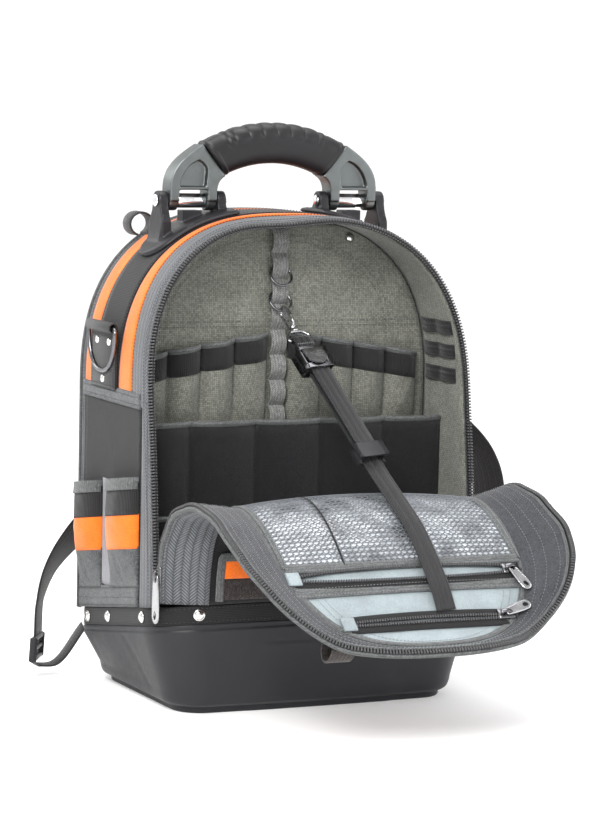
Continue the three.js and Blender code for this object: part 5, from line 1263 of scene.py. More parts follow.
def build_sides():
    flat, middle = (lambda a, b: 0), rim_height(18.0)
    for word, side in (("left", -1), ("right", 1)):
        piece(f"side_recess_{word}", side_sheet(side, -62, 82, lambda y: rim_height(y) + 1,
                                                lambda y: ARCH_BASE + 2, 0.3, 0.8, 20, 24, flat), DARK_CLOTH)
        piece(f"side_panel_{word}", side_sheet(side, 5, 31, lambda y: middle + HEM,
                                               lambda y: middle + POCKET_TOP + 2, 1.1, 0.9, 6, 20, lambda a,
                                               b: 0.6 * hump(a, 1)), SATIN)
        piece(f"side_seam_{word}", side_sheet(side, -62, 84, lambda y: 281, lambda y: 296, 1.0, 1.4, 24, 6,
                                              lambda a, b: 0.8 * hump(b)), GREY_CLOTH)
        piece(f"side_hem_{word}", side_sheet(side, -63, 87, lambda y: rim_height(y) + 0.5,
                                             lambda y: rim_height(y) + HEM, 1.2, 1.4, 24, 8,
                                             lambda a, b: 0.7 * hump(b)), GREY_CLOTH)
        y = np.linspace(-62, 85, 60)
        lines = [stack(side * (ARCH_HALF_WIDTH + 3.2), y, rim_height(y) + above) for above in (HEM - 3,
                                                                                               HEM - 12, 3)]
        lines += [stack(side * (ARCH_HALF_WIDTH + 3.1), y, height) for height in (285, 292)]
        for y0, y1, place in ((-62, 6, "front"), (30, 86, "rear")):
            side_pocket(f"side_pocket_{place}_{word}", side, y0, y1)
        piece(f"side_stitches_{word}", [stitches(line, (side, 0, 0), 3.4) for line in lines], DARK_THREAD)
        ring_tab(word, side)


def side_pocket(node, side, y0, y1):
    def bow(a, height):
        full = np.interp(height, POCKET_LEVELS, POCKET_FULLNESS)
        fold = bell(a, 0.5, 0.09) * smooth((60 - height) / 30) * smooth((height - HEM) / 12)
        return 15 * (hump(a) * full) - 5 * fold * full

    def band(low, high, out, thick, nv):
        def place(a, b, face):
            y = lerp(y0, y1, a)
            height = lerp(low, high, b)
            crease = 0.5 * ripple(y, height, 15, 21) * np.sin(math.pi * a) * smooth((height - HEM) / 20)
            x = ARCH_HALF_WIDTH + 1.6 + bow(a, height) + out + thick * face + crease
            return stack(side * x, y, rim_height(y) + height)
        return [grid_shape(place, 30, nv)]

    piece(node + "_cloth", band(HEM - 2, 58, 0, 1.6, 20), GREY_CLOTH, slot="grey_cloth", replaces=node)
    piece(node + "_orange", band(56, 89, 0.5, 1.4, 10), ORANGE)
    piece(node + "_elastic", band(88, POCKET_TOP - 4, 0.7, 1.6, 12), ELASTIC)
    piece(node + "_binding", band(POCKET_TOP - 10, POCKET_TOP + 1.5, 1.4, 2.6, 6), BINDING)


def ring_tab(word, side):
    face = ARCH_HALF_WIDTH + 2.6
    bar_x, outward = face + 4.1, (side, 0, 0)
    turn = np.linspace(-150, 100, 26) * math.pi / 180
    roll = stack(side * (bar_x + 4.6 * np.cos(turn)), RING_Y, RING_BAR_Z + 4.6 * np.sin(turn))
    down = stack(side * (face + 2.0), RING_Y, np.linspace(RING_BAR_Z - 5, TAB_LOW, 20))
    behind = stack(side * (face + 0.9), RING_Y, np.linspace(TAB_LOW + 2, RING_BAR_Z + 2, 8))
    path = resample(np.vstack([behind, roll[::-1], down]), 1.6)
    strip = sweep_shape(path, (0, 1, 0), frames(path, (0, 1, 0))[1], pill(62, 1.5))
    piece(f"tab_{word}", [strip], WEBBING, slot="webbing", replaces=f"ring_tab_{word}")
    lines = [stack(side * (face + 3.0), y, np.linspace(TAB_LOW + 3, 344, 20)) for y in (0, 54)]
    lines += [stack(side * (face + 3.0), np.linspace(0, 54, 20), z) for z in (TAB_LOW + 3, 343)]
    piece(f"tab_stitches_{word}", [stitches(line, outward, 3.2) for line in lines], DARK_THREAD)
    dome = [(4.0, 0), (4.0, 0.5), (3.2, 1.6), (1.8, 2.1), (0.01, 2.3)]
    rivets = [lathe_shape(dome, (side * (face + 2.4), y, z), outward, (0, 0, 1), 16)
              for y, z in ((12, 338), (42, 338), (RING_Y, 302))]
    piece(f"tab_rivets_{word}", rivets, RIVET)
    half, length = RING_HALF, RING_LENGTH
    right = cubic((half, 0), (half, -length * 0.7), (half * 0.6, -length), (0, -length), 25)
    bar = np.stack([np.linspace(-half, half, 14), np.zeros(14)], 1)
    loop = np.vstack([bar[1:-1], right[:-1], (right[::-1] * np.array([-1, 1]))[:-1]])
    path = stack(side * bar_x, RING_Y + loop[:, 0], RING_BAR_Z + loop[:, 1])
    path = resample(np.vstack([path, path[:1]]), count=97)[:-1]
    piece(f"ring_{word}", [tube_shape(path, (1, 0, 0), RING_WIRE, 12, closed=True)], DARK_METAL,
          f"d_ring_{word}_body", slot="dark_metal", replaces=f"d_ring_{word}")


# Handle


def across_x(p, d):
    return stack(d, p[:, 0], p[:, 1])


def across_y(p, d):
    return stack(p[:, 0], d, p[:, 1])


LEG_OUTER = EAR_OUTER - EAR_WIDTH - SIDE_PLAY
LEG_INNER = EAR_INNER + EAR_WIDTH + SIDE_PLAY
NECK = 9.5


def share_across(x):
    turn = math.acos((x / ARCH_HALF_WIDTH) ** (ARCH_POWER / 2))
    return STRAIGHT * (1 - turn / (math.pi / 2))


def arch_top(x):
    return float(arch_height(share_across(x), 0))


def bracket_shapes():
    """The right saddle: its tongue, its two ears, the fin outside them and the block between them."""
    start, tip = share_across(EAR_INNER) - 0.012, float(share_at(TONGUE_HEIGHT))
    middle = (SADDLE_FRONT_Y + SADDLE_REAR_Y) / 2

    def place(a, b, face):
        rounding = np.sqrt(np.maximum(0.02, 1 - clamp((b - 0.66) / 0.34) ** 2.4))
        y = middle + (a - 0.5) * (SADDLE_REAR_Y - SADDLE_FRONT_Y) * rounding
        edge = 1 - 0.5 * (np.abs(a - 0.5) * 2) ** 6
        return arch_point(lerp(start, tip, b), y, 2.7 + face * SADDLE_THICKNESS * edge)

    shapes = [grid_shape(place, 20, 60)]
    front, rear, shoulder = PIN_Y - EAR_DEPTH / 2, PIN_Y + EAR_DEPTH / 2, PIN_HEIGHT - 19
    for x0, x1 in ((EAR_INNER, EAR_INNER + EAR_WIDTH), (EAR_OUTER - EAR_WIDTH, EAR_OUTER)):
        low = arch_top(x1) + 3.2
        outline = np.vstack([[(front, low)], quadratic((front, shoulder), (PIN_Y - NECK, PIN_HEIGHT - NECK),
                                                       (PIN_Y - NECK, PIN_HEIGHT)),
                             arc((PIN_Y, PIN_HEIGHT), EAR_RADIUS, 180, 0)[1:-1],
                             quadratic((PIN_Y + NECK, PIN_HEIGHT), (PIN_Y + NECK, PIN_HEIGHT - NECK),
                                       (rear, shoulder)),
                             [(rear, low)]])
        shapes.append(prism_shape(outline, [], across_x, x0, x1))
    fin = np.vstack([[(EAR_OUTER - 2, arch_top(EAR_OUTER) + 3)], [(EAR_OUTER - 2, PIN_HEIGHT - 14)],
                     quadratic((EAR_OUTER, PIN_HEIGHT - 16), (EAR_OUTER + 1, arch_top(EAR_OUTER) + 10),
                               (EAR_OUTER + 8.5, arch_top(EAR_OUTER + 8.5) + 6))])
    shapes.append(prism_shape(fin, [], across_y, PIN_Y - 15, PIN_Y + 15))
    x0, x1 = EAR_INNER + EAR_WIDTH + 16, EAR_OUTER - EAR_WIDTH - 16
    low, high = arch_top(x1) + 4, PIN_HEIGHT - 9
    block = [(PIN_Y - 8, low), (PIN_Y + 8, low), (PIN_Y + 8, high), (PIN_Y - 8, high)]
    shapes.append(prism_shape(block, [], across_x, x0, x1))
    return shapes


def arm_shapes():
    """The right arm: a web with a pocket on both faces, and the two eyes of its legs."""
    face_top = (GRIP_TOP_HALF + GAP, GRIP_TOP_CORNER - GAP)
    face_low = (GRIP_LOW_HALF + GAP, GRIP_LOW_CORNER - GAP)
    crook, half = PIN_HEIGHT + LEG_RADIUS + 1, ARM_DEPTH / 2
    leg_in, leg_out = LEG_INNER + LEG_WIDTH, LEG_OUTER - LEG_WIDTH
    outer = cubic((LEG_OUTER, PIN_HEIGHT + 14), (LEG_OUTER - 1, PIN_HEIGHT + 34), (92, 515), face_top)
    inner = quadratic(face_low, (LEG_INNER, 491), (LEG_INNER, PIN_HEIGHT + 8), 16)
    notch = [(leg_in, PIN_HEIGHT), (leg_in, crook), (leg_out, crook), (leg_out, PIN_HEIGHT)]
    outline = np.vstack([[(LEG_OUTER, PIN_HEIGHT)], outer, inner, [(LEG_INNER, PIN_HEIGHT)], notch])
    low, high = (leg_in + 2, crook + 3), (leg_out, crook + 3)
    pocket = np.vstack([[low], quadratic(high, (95, 505), (79, 510), 14),
                        quadratic((79, 510), (69, 505), (70.5, 498), 8)[1:]])
    shapes = [prism_shape(outline, [], across_y, PIN_Y - half + ARM_POCKET, PIN_Y + half - ARM_POCKET)]
    for y0, y1 in ((-half, -half + ARM_POCKET + 0.5), (half - ARM_POCKET - 0.5, half)):
        shapes.append(prism_shape(outline, [pocket], across_y, PIN_Y + y0, PIN_Y + y1))
    for x in (LEG_INNER, leg_out):
        shapes.append(lathe_shape([(LEG_RADIUS, 0), (LEG_RADIUS, LEG_WIDTH)], (x, PIN_Y, PIN_HEIGHT),
                                  (1, 0, 0), (0, 0, 1), 40))
    return shapes


def grip_shape():
    """The grip: an arched bar with a lip at each end and ribs over its top."""
    def edge(share, half, corner, middle):
        drop = middle - corner
        radius = (half * half + drop * drop) / (2 * drop)
        x = half * share
        return np.array([x, PIN_Y, middle - radius + np.sqrt(radius * radius - x * x)])

    turn = full_turn(72)
    c, s = (np.sign(wave) * np.abs(wave) ** 0.75 for wave in (np.cos(turn), np.sin(turn)))
    rows = []
    for share in np.concatenate([[-1, -0.995, -0.985], np.linspace(-0.97, 0.97, 220), [0.985, 0.995, 1]]):
        top = edge(share, GRIP_TOP_HALF, GRIP_TOP_CORNER, HANDLE_TOP)
        low = edge(share, GRIP_LOW_HALF, GRIP_LOW_CORNER, GRIP_LOW_MIDDLE)
        centre, up = (top + low) / 2, (top - low) / 2
        length, x = np.linalg.norm(up), centre[0]
        end = -2.2 * (1 - math.sqrt(max(0, 1 - clamp((abs(share) - 0.97) / 0.03) ** 2)))
        lip = 0.8 * math.exp(-((abs(share) - 0.955) / 0.02) ** 2)
        zone = smooth((s - 0.30) / 0.10) * smooth((46 - abs(x)) / 3)
        ribs = zone * (2.2 * abs(math.sin(math.pi * x / 13.2)) ** 0.35 - 1.7)
        grow = (end + lip + ribs - 0.6 * (1 - zone) * smooth((50 - abs(x)) / 4) * smooth(s / 0.3))[:, None]
        rows.append(centre + up / length * s[:, None] * (length + grow)
                    + np.array([0, 1, 0]) * (c[:, None] * (GRIP_DEPTH / 2 + grow)))
    return ring_stack(rows, False)


def build_handle():
    sides = (("right", lambda shape: shape), ("left", mirror))
    for word, turned in sides:
        moulded(f"saddle_{word}", [turned(s) for s in bracket_shapes()], PLASTIC, 1.0, 9,
                slot="black_plastic", replaces=f"handle_bracket_{word}")
    for word, turned in sides:
        moulded(f"arm_{word}", [turned(s) for s in arm_shapes()], ALLOY, 0.8, 5, body="handle", slot="alloy",
                replaces=f"handle_arm_{word}")
    piece("grip", [grip_shape()], RUBBER, "handle", slot="rubber", replaces="handle_grip")
    head, head_in = EAR_OUTER + GAP, EAR_INNER - GAP
    tube0, tube1 = LEG_INNER + LEG_WIDTH + GAP, LEG_OUTER - LEG_WIDTH - GAP
    profile = [(0.01, head_in - 2.6), (3.6, head_in - 2.3), (5.6, head_in - 1.2), (6, head_in),
               (4, head_in), (4, tube0), (6.4, tube0), (7, tube0 + 0.6), (7, tube1 - 0.6), (6.4, tube1),
               (4, tube1), (4, head), (6, head), (6, head + 0.9), (5.4, head + 1.6), (3.4, head + 2.3),
               (0.01, head + 2.6)]
    pin = lathe_shape(profile, (0, PIN_Y, PIN_HEIGHT), (1, 0, 0), (0, 0, 1), 40)
    for word, turned in sides:
        piece(f"pin_{word}", [turned(pin)], CHROME, slot="chrome", replaces=f"handle_pin_{word}")


# Support strap with its hook, buckle and keeper

RING_FALL = 2 * RING_RADIUS
RING_FOOT = np.array([0, DIVIDER_Y - RING_OUT - math.sin(RING_TILT) * RING_FALL,
                      WEBBING_TOP - 2.5 * WEBBING_RUN / WEBBING_LOOPS - math.cos(RING_TILT) * RING_FALL])
STRAP_END_V, STRAP_U = 297, 23
HOOK_LENGTH, HOOK_HALF = 26, 6
BUCKLE_START, BUCKLE_END = 56, 84
SLIDE_START, SLIDE_END = 184, 202


def strap_rise(v):
    along = (MESH_BOTTOM - v) / (MESH_BOTTOM - MESH_TOP)
    return PATCH_GAP + 3 + 2 * STRAP_THICKNESS + (MESH_BULGE * mesh_bow(along) if along > 0 else 0)


def strap_contact():
    best, found = -1e9, None
    for v in range(MESH_TOP, STRAP_END_V - 39, 2):
        point = flap_point(STRAP_U, float(v), strap_rise(v))
        line = point - RING_FOOT
        if line[2] / -line[1] > best:
            best, found = line[2] / -line[1], point
    return found


CONTACT = strap_contact()
STRAP_ALONG = unit(CONTACT - RING_FOOT)
STRAP_SIDE = unit(np.array([1.0, 0, 0]) - STRAP_ALONG * STRAP_ALONG[0])
STRAP_UP = np.cross(STRAP_ALONG, STRAP_SIDE)
STRAP_LENGTH = float(np.linalg.norm(CONTACT - RING_FOOT))
HOOK_WIRE = 1.5
HOOK_START = -(1.3 + 0.6 + HOOK_WIRE)
FRAME_START = HOOK_START + HOOK_LENGTH + 8 - HOOK_WIRE
FRAME_BAR = FRAME_START + 12
FOLD = HOOK_WIRE + 0.9 + STRAP_THICKNESS / 2


def strap_at(along, across=0.0, above=0.0):
    along, across, above = np.broadcast_arrays(np.asarray(along, float), across, above)
    place = RING_FOOT + along[..., None] * STRAP_ALONG + across[..., None] * STRAP_SIDE
    return place + above[..., None] * STRAP_UP


def rounded_box(a0, a1, half, low, high, corner=1.4, steps=3):
    """A box in the strap's directions with rounded long edges."""
    outline = []
    for cx, cy, start in ((half - corner, low + corner, -90), (half - corner, high - corner, 0),
                          (corner - half, high - corner, 90), (corner - half, low + corner, 180)):
        for k in range(steps + 1):
            turn = math.radians(start + 90 * k / steps)
            outline.append((cx + corner * math.cos(turn), cy + corner * math.sin(turn)))
    path = strap_at([a0, a0 + corner * 0.4, a1 - corner * 0.4, a1])
    return sweep_shape(path, STRAP_SIDE, STRAP_UP, outline)


def side_bars(a0, a1, count, out, width, height):
    """Bars along both edges of the strap."""
    return [sweep_shape(strap_at(np.linspace(a0, a1, count), edge * (STRAP_WIDTH / 2 + out)), STRAP_SIDE,
                        STRAP_UP, pill(width, height)[::-1]) for edge in (-1, 1)]


def build_support_strap():
    turn = np.radians(np.linspace(-90, 90, 15))
    fold = strap_at(FRAME_BAR - np.cos(turn) * FOLD, 0, -np.sin(turn) * FOLD)
    lead = np.vstack([strap_at(np.linspace(198, FRAME_BAR + 2, 40), 0, FOLD), fold,
                      strap_at(np.linspace(FRAME_BAR + 2, STRAP_LENGTH - 70, 50), 0, -FOLD)])
    tail = spline([strap_at(STRAP_LENGTH - 70, 0, -FOLD), strap_at(STRAP_LENGTH - 35, 0, -FOLD * 0.4),
                   CONTACT, flap_point(STRAP_U, STRAP_END_V - 28.0, strap_rise(STRAP_END_V)),
                   flap_point(STRAP_U, STRAP_END_V, PATCH_GAP + STRAP_THICKNESS)], np.linspace(0, 1, 60))
    path = resample(np.vstack([lead, tail[1:]]), 2.0)
    strap = sweep_shape(path, STRAP_SIDE, unit(np.cross(course(path), STRAP_SIDE)),
                        pill(STRAP_WIDTH, STRAP_THICKNESS))
    piece("support_webbing", [strap], WEBBING, slot="webbing", replaces="support_strap")

    # The snap hook: its loop, its frame, the swivel between them and the thumb piece
    half, start, end = HOOK_HALF, HOOK_START, HOOK_START + HOOK_LENGTH
    turn = np.linspace(-math.pi / 2, math.pi / 2, 14)
    loop = np.vstack([np.stack([end - half + np.cos(turn) * half, np.sin(turn) * half], 1),
                      np.stack([start + half - np.cos(turn) * half, -np.sin(turn) * half], 1)])
    loop = np.vstack([loop, loop[:1]])
    path = resample(strap_at(loop[:, 0], 0, loop[:, 1]), count=61)[:-1]
    shapes = [tube_shape(path, STRAP_SIDE, HOOK_WIRE, 10, closed=True)]
    w = STRAP_WIDTH / 2 + HOOK_WIRE + 0.6
    corners = [(FRAME_START, -w * 0.5), (FRAME_START, w * 0.5), (FRAME_START + 6, w), (FRAME_BAR, w),
               (FRAME_BAR, -w), (FRAME_START + 6, -w), (FRAME_START, -w * 0.5)]
    path = resample([strap_at(a, b) for a, b in corners], count=49)[:-1]
    path = (path * 2 + np.roll(path, 1, 0) + np.roll(path, -1, 0)) / 4
    shapes.append(tube_shape(path, STRAP_UP, HOOK_WIRE, 10, closed=True))
    barrel = [(0.01, 0), (2.6, 0.2), (3.2, 1.2), (3.2, 2.6), (2.4, 3.0), (2.4, 5.2), (3.2, 5.6), (3.2, 7.6),
              (0.01, 7.8)]
    shapes.append(lathe_shape(barrel, strap_at(end - 1.2), STRAP_ALONG, STRAP_SIDE, 20))
    shapes.append(rounded_box(start + 9, start + 18, 1.0, half - 0.4, half + 3.0, 0.8))
    piece("snap_hook", shapes, NICKEL, slot="dark_metal", replaces="strap_hook")

    hole = FOLD + STRAP_THICKNESS / 2 + GAP
    wide, low = STRAP_WIDTH / 2 + 2.8, -hole - 2.5
    shapes = [rounded_box(BUCKLE_START, BUCKLE_START + 4, wide, low, hole + 3.2),
              rounded_box(BUCKLE_END - 6, BUCKLE_END, wide, low, hole + 3.2),
              rounded_box(BUCKLE_START, BUCKLE_END, wide, low, -hole, 0.9),
              *side_bars(BUCKLE_START, BUCKLE_END, 6, 1.7, 2.2, 2 * hole + 4)]
    piece("cam_buckle", shapes, DARK_METAL, slot="dark_metal", replaces="strap_buckle")
    turn = np.linspace(0, math.pi, 18)
    lever = np.vstack([[(-10.5, 60), (10.5, 60)], np.stack([np.cos(turn) * 10.5, 72 + np.sin(turn) * 9], 1)])
    place = lambda p, d: strap_at(p[:, 1], p[:, 0], hole + 2.0 + (p[:, 1] - 60) * 0.12 + d)
    piece("cam_lever", [prism_shape(lever, [], place, 0, 1.8)], NICKEL)
    wide = STRAP_WIDTH / 2 + 1.9
    shapes = [rounded_box(SLIDE_START, SLIDE_END, wide, hole, hole + 1.6, 0.7),
              rounded_box(SLIDE_START, SLIDE_END, wide, -hole - 1.6, -hole, 0.7),
              *side_bars(SLIDE_START, SLIDE_END, 5, 1.2, 1.5, 2 * hole + 3)]
    piece("strap_slide", shapes, PLASTIC, slot="black_plastic", replaces="strap_keeper")
    marks = [stitches(strap_at(along, np.linspace(-8, 8, 10), FOLD + 0.9), STRAP_UP, 1.9, 1.5)
             for along in (FRAME_BAR + 8, 50)]
    piece("strap_stitches", marks, THREAD)


# Pulls and sliders


def pull_outline(length, width):
    """A pull's outline with its hole and its slot."""
    centre = -length + width / 2
    left = [(-width * 0.3, 0), (-width * 0.42, -length * 0.25), (-width / 2, -length * 0.6),
            (-width / 2, centre)]
    bottom = arc((0, centre), width / 2, 180, 360, 20)
    right = [(-x, y) for x, y in left[2::-1]]
    ring = arc((0, 0), 1, 0, 360, 25)[:-1]
    hole = ring * np.array([width * 0.26, width * 0.34]) + np.array([0, centre + 1])
    slot = np.array([(-width * 0.14, -2), (-width * 0.16, -5), (width * 0.16, -5), (width * 0.14, -2)])
    return np.vstack([left, bottom[1:], right]), hole, slot


def build_pull(name, node, body, origin, across, down, through, length, width, along):
    """A pull plate hanging from its eye, and the slider that it hangs from, along its zip."""
    given = (origin, across, down, through, along)
    origin, across, down, through, along = (np.asarray(v, float) for v in given)
    outline, hole, slot = pull_outline(length, width)
    place = lambda p, d: origin + p[:, :1] * across - p[:, 1:] * down + d * through
    shapes = [prism_shape(outline, [hole, slot], place, -0.9, 0.9)]
    rim = place(np.vstack([outline, outline[:1]]), 0)
    shapes.append(tube_shape(resample(rim, count=61)[:-1], through, 1.15, 8, closed=True))
    piece(name, shapes, NICKEL, body, slot="chrome", replaces=node)
    slider = []
    for lift in (-2.4, -8.6):
        path = origin + along * np.linspace(-8, 9, 7)[:, None] + through * lift
        slider.append(sweep_shape(path, np.cross(through, along), through, pill(11, 1.6)))
    neck = origin + through * np.linspace(-7.2, -2.2, 3)[:, None] + along * 5
    slider.append(tube_shape(neck, along, 2.2, 10))
    rise = 0.6 + 1.8 * np.sin(np.linspace(0, math.pi, 12))
    bridge = origin + along * np.linspace(-6, 5, 12)[:, None] + through * rise[:, None]
    slider.append(strip_shape(bridge, through, 4.0, 1.4))
    return slider


def build_pulls():
    sliders = build_pull("main_zip_pull", "main_pull", "main_pull_body",
                         (-(ARCH_HALF_WIDTH + GAP + 1), -104, 132), (0, 1, 0), (0, 0, -1), (-1, 0, 0), 44,
                         12, (0, 0, 1))
    rise = 5.8
    for word, u, v, turn in (("upper", 104, UPPER_ZIP_V, 0.1), ("lower", 80, MESH_BOTTOM + 70, 0.6)):
        origin = flap_point(u, v, rise)
        ahead = unit(flap_point(u, v + 4.0, rise) - origin)
        aside = unit(flap_point(u + 4.0, v, rise) - origin)
        way = unit(ahead * math.cos(math.pi * turn) + aside * math.sin(math.pi * turn))
        normal = unit(np.cross(ahead, aside))
        upward = normal if normal[2] > 0 else -normal
        sliders += build_pull(f"cover_pull_{word}", f"flap_pull_{word}", f"flap_pull_{word}_body", origin,
                              unit(np.cross(way, normal)), way, upward, 28, 9, aside)
    piece("sliders", sliders, DARK_METAL)


# Shoulder straps and rear cover

COVER_FRONT = REAR_EDGE + 2 * GAP + ZIP_WIDTH
PAD_FACE = COVER_FRONT + BACK_PAD + GAP
# Each row: place across, behind the pad's face and up, share of width and thickness, and twist in degrees
SHOULDERS = {
    "left": [(48, 5.6, 424, 1, 1, 0), (58, 6.6, 360, 1, 1, 0), (74, 6, 270, 1, 1, 0),
             (92, 4, 205, 0.9, 0.6, 5), (122, 4, 168, 0.66, 0.2, 15), (160, 6, 138, 0.66, 0.17, 35),
             (186, 2, 108, 0.66, 0.17, 50), (198, 0, 76, 0.66, 0.17, 60), (200, 0, 42, 0.66, 0.17, 60)],
    "right": [(48, 5.6, 424, 1, 1, 0), (60, 6.6, 380, 1, 1, 0), (84, 6, 320, 1, 1, 0),
              (120, 4, 286, 0.9, 0.6, 0), (172, -6, 272, 0.66, 0.17, 20), (222, -40, 246, 0.66, 0.17, 45),
              (256, -60, 206, 0.66, 0.17, 60), (266, -55, 150, 0.66, 0.17, 60),
              (244, -30, 88, 0.66, 0.17, 60), (214, -6, 46, 0.66, 0.17, 60)],
}


def shoulder_frame(side, rows, along):
    along = np.atleast_1d(np.asarray(along, float))
    points = [(side * r[0], PAD_FACE + r[1], r[2]) for r in rows]
    centre = spline(points, along)
    tangent = unit(spline(points, along + 1e-4) - spline(points, along - 1e-4))
    table = np.array(rows)
    place = along * (len(rows) - 1)
    column = lambda k: np.interp(place, np.arange(len(rows)), table[:, k])
    turn = np.radians(column(5))[:, None]
    level = unit(np.cross(np.array([0, 1.0, 0]), tangent))
    flat = unit(np.cross(tangent, level))
    wide = level * np.cos(turn) + flat * side * np.sin(turn)
    thin = unit(np.cross(tangent, wide))
    return centre, tangent, wide, thin, column(3), column(4)


def cover_face(a, along):
    crown = (1 - np.abs(a) ** 4) * np.sin(math.pi * clamp((along + 0.06) / 1.12)) ** 0.5
    return COVER_FRONT + BACK_PAD * (0.35 + 0.65 * crown)


def channels(x, z, bottom):
    """How deep the sewn channels of the back padding are, and where its raised middle is."""
    groove = sum(bell(x, centre, 4.0) for centre in (-52, 52))
    groove = groove + sum(bell(z, height, 4.0) for height in (178, 318))
    middle = smooth((126 - np.abs(x)) / 5) * smooth((z - bottom - 22) / 5) * smooth((415 - z) / 5)
    return clamp(groove) * middle, middle


def build_back():
    bottom, top = rim_height(COVER_FRONT) + 1, TOP_HEIGHT - 3

    def place(a, b, face):
        z = lerp(bottom, top, 1 - (1 - b) ** 1.25)
        x = (a * 2 - 1) * np.maximum(arch_half_width(z, 1), 4)
        groove, middle = channels(x, z, bottom)
        y = cover_face(a * 2 - 1, (z - bottom) / (TOP_HEIGHT - 1 - bottom))
        y = y - 4.2 * groove + 0.8 * middle - 1.6 * (1 - middle) + 0.4 * ripple(x, z, 70, 8)
        return stack(x, np.where(face > 0.5, y, COVER_FRONT), z)

    cover = piece("back_padding", [grid_shape(place, 110, 120)], SPACER, slot="black_cloth",
                  replaces="back_cover")
    for word, side in (("left", -1), ("right", 1)):
        build_shoulder(word, side, SHOULDERS[word])
        build_shoulder_end(word, side, SHOULDERS[word])
    yoke = grid_shape(lambda a, b, f: stack(lerp(-76, 76, a),
                                            PAD_FACE - 4.5 + f * 13 * hump(lerp(0.2, 0.8, b), 1),
                                            lerp(432, 450, b)), 24, 10)
    piece("yoke", [yoke], DARK_CLOTH, slot="webbing", replaces="strap_yoke")


def build_shoulder(word, side, rows):
    """A shoulder strap: its pad, the edging of the pad and the webbing that goes on from it."""
    pad_end = 3.6 / (len(rows) - 1)

    def pad(a, b, face):
        centre, tangent, wide, thin, width, thick = shoulder_frame(side, rows, (b * pad_end).ravel())
        shape = lambda v: v.reshape(*b.shape, -1)
        crown = 1 - 0.55 * np.abs(a * 2 - 1) ** 4
        return (shape(centre) + shape(wide) * ((a - 0.5) * SHOULDER_WIDTH * width.reshape(b.shape))[..., None]
                + shape(thin) * ((face - 0.5) * SHOULDER_THICKNESS * thick.reshape(b.shape) * crown)[...,
                                                                                                     None])

    obj = piece(f"shoulder_pad_{word}", [grid_shape(pad, 14, 80)], DARK_CLOTH, slot="black_cloth",
                replaces=f"shoulder_strap_{word}")
    centre, _, wide, thin, width, _ = shoulder_frame(side, rows, np.linspace(0, pad_end, 60))
    for end, edge in (("in", -1), ("out", 1)):
        line = centre + wide * (edge * (SHOULDER_WIDTH / 2 - 0.4) * width)[:, None]
        piece(f"shoulder_edge_{word}_{end}", [tube_shape(line, thin, 2.2, 8, squash=1.3)], BINDING)
    along = np.linspace(2.6 / (len(rows) - 1), 1, 120)
    centre, _, wide, thin, _, _ = shoulder_frame(side, rows, along)
    lift = np.interp(along, [along[0], pad_end, pad_end + 0.03], [4.6, 3.2, 0.0])
    path = centre + thin * (lift * np.sign(thin[:, 1]))[:, None]
    strap = sweep_shape(path, wide, thin, pill(SHOULDER_WIDTH * 0.66, 2.2))
    piece(f"shoulder_webbing_{word}", [strap], WEBBING, slot="webbing")


def build_shoulder_end(word, side, rows):
    """The adjuster at the end of a shoulder strap, and the webbing from it to the pack."""
    centre, tangent, wide, thin = (v[0] for v in shoulder_frame(side, rows, [1.0])[:4])
    at = lambda along, across: centre + tangent * along + wide * across
    half, height = 24, 26
    shapes = [tube_shape([at(along, x) for x in np.linspace(1 - half, half - 1, 9)], thin, radius, 12,
                         squash=1.1)
              for along, radius in ((3, 2.8), (13, 2.4), (23, 3.0))]
    shapes += [sweep_shape([at(x, edge * (half - 2.8)) for x in np.linspace(1.5, height - 1, 9)], wide, thin,
                           pill(5.2, 7.6)) for edge in (-1, 1)]
    moulded(f"strap_adjuster_{word}", shapes, PLASTIC, 0.7, 4, slot="black_plastic",
            replaces=f"shoulder_buckle_{word}")
    start, end = at(height + 4.8, 0), np.array([side * 158.6, 101.6, 50])
    path = spline([start, start + np.array([-side * 20, 0, 1]), end], np.linspace(0, 1, 30))
    tangents = course(path)
    across = np.array([0, 1.0, 0])
    across = unit(across - (tangents @ across)[:, None] * tangents)
    webbing = sweep_shape(path, across, np.cross(tangents, across), pill(18, 1.7))
    piece(f"anchor_webbing_{word}", [webbing], WEBBING, slot="webbing", replaces=f"shoulder_anchor_{word}")


def build_loops():
    turn = np.radians(np.linspace(-60, 250, 30))
    path = stack(-114 + np.cos(turn) * 12, 84, 446 + np.sin(turn) * 11)
    loop = sweep_shape(path, (0, 1, 0), stack(np.cos(turn), 0, np.sin(turn)), pill(20, 2.0))
    piece("crown_loop", [loop], WEBBING)
    angle = np.linspace(0, 1, 30) * math.pi
    path = flap_point(-88.0, 322 - np.cos(angle) * 9.8, -FLAP_THICKNESS - 0.6 - np.sin(angle) * 20.8)
    loop = sweep_shape(path, (1, 0, 0), unit(np.cross(course(path), np.array([1.0, 0, 0]))), pill(24, 1.8))
    piece("cover_loop", [loop], BROWN_WEBBING, slot="webbing", replaces="flap_loop")


# Camera, light and floor, in metres and degrees

CAMERA_PLACE = (-1.2989, -2.8267, 0.61025)
CAMERA_YAW, CAMERA_PITCH, CAMERA_ROLL = 25.08, 6.32, 1.27
FOCAL_PIXELS, PICTURE_HEIGHT, SENSOR = 3237, 830, 24
FLOOR_BEND, FLOOR_RADIUS, FLOOR_HEIGHT = 2000, 8000, 6000
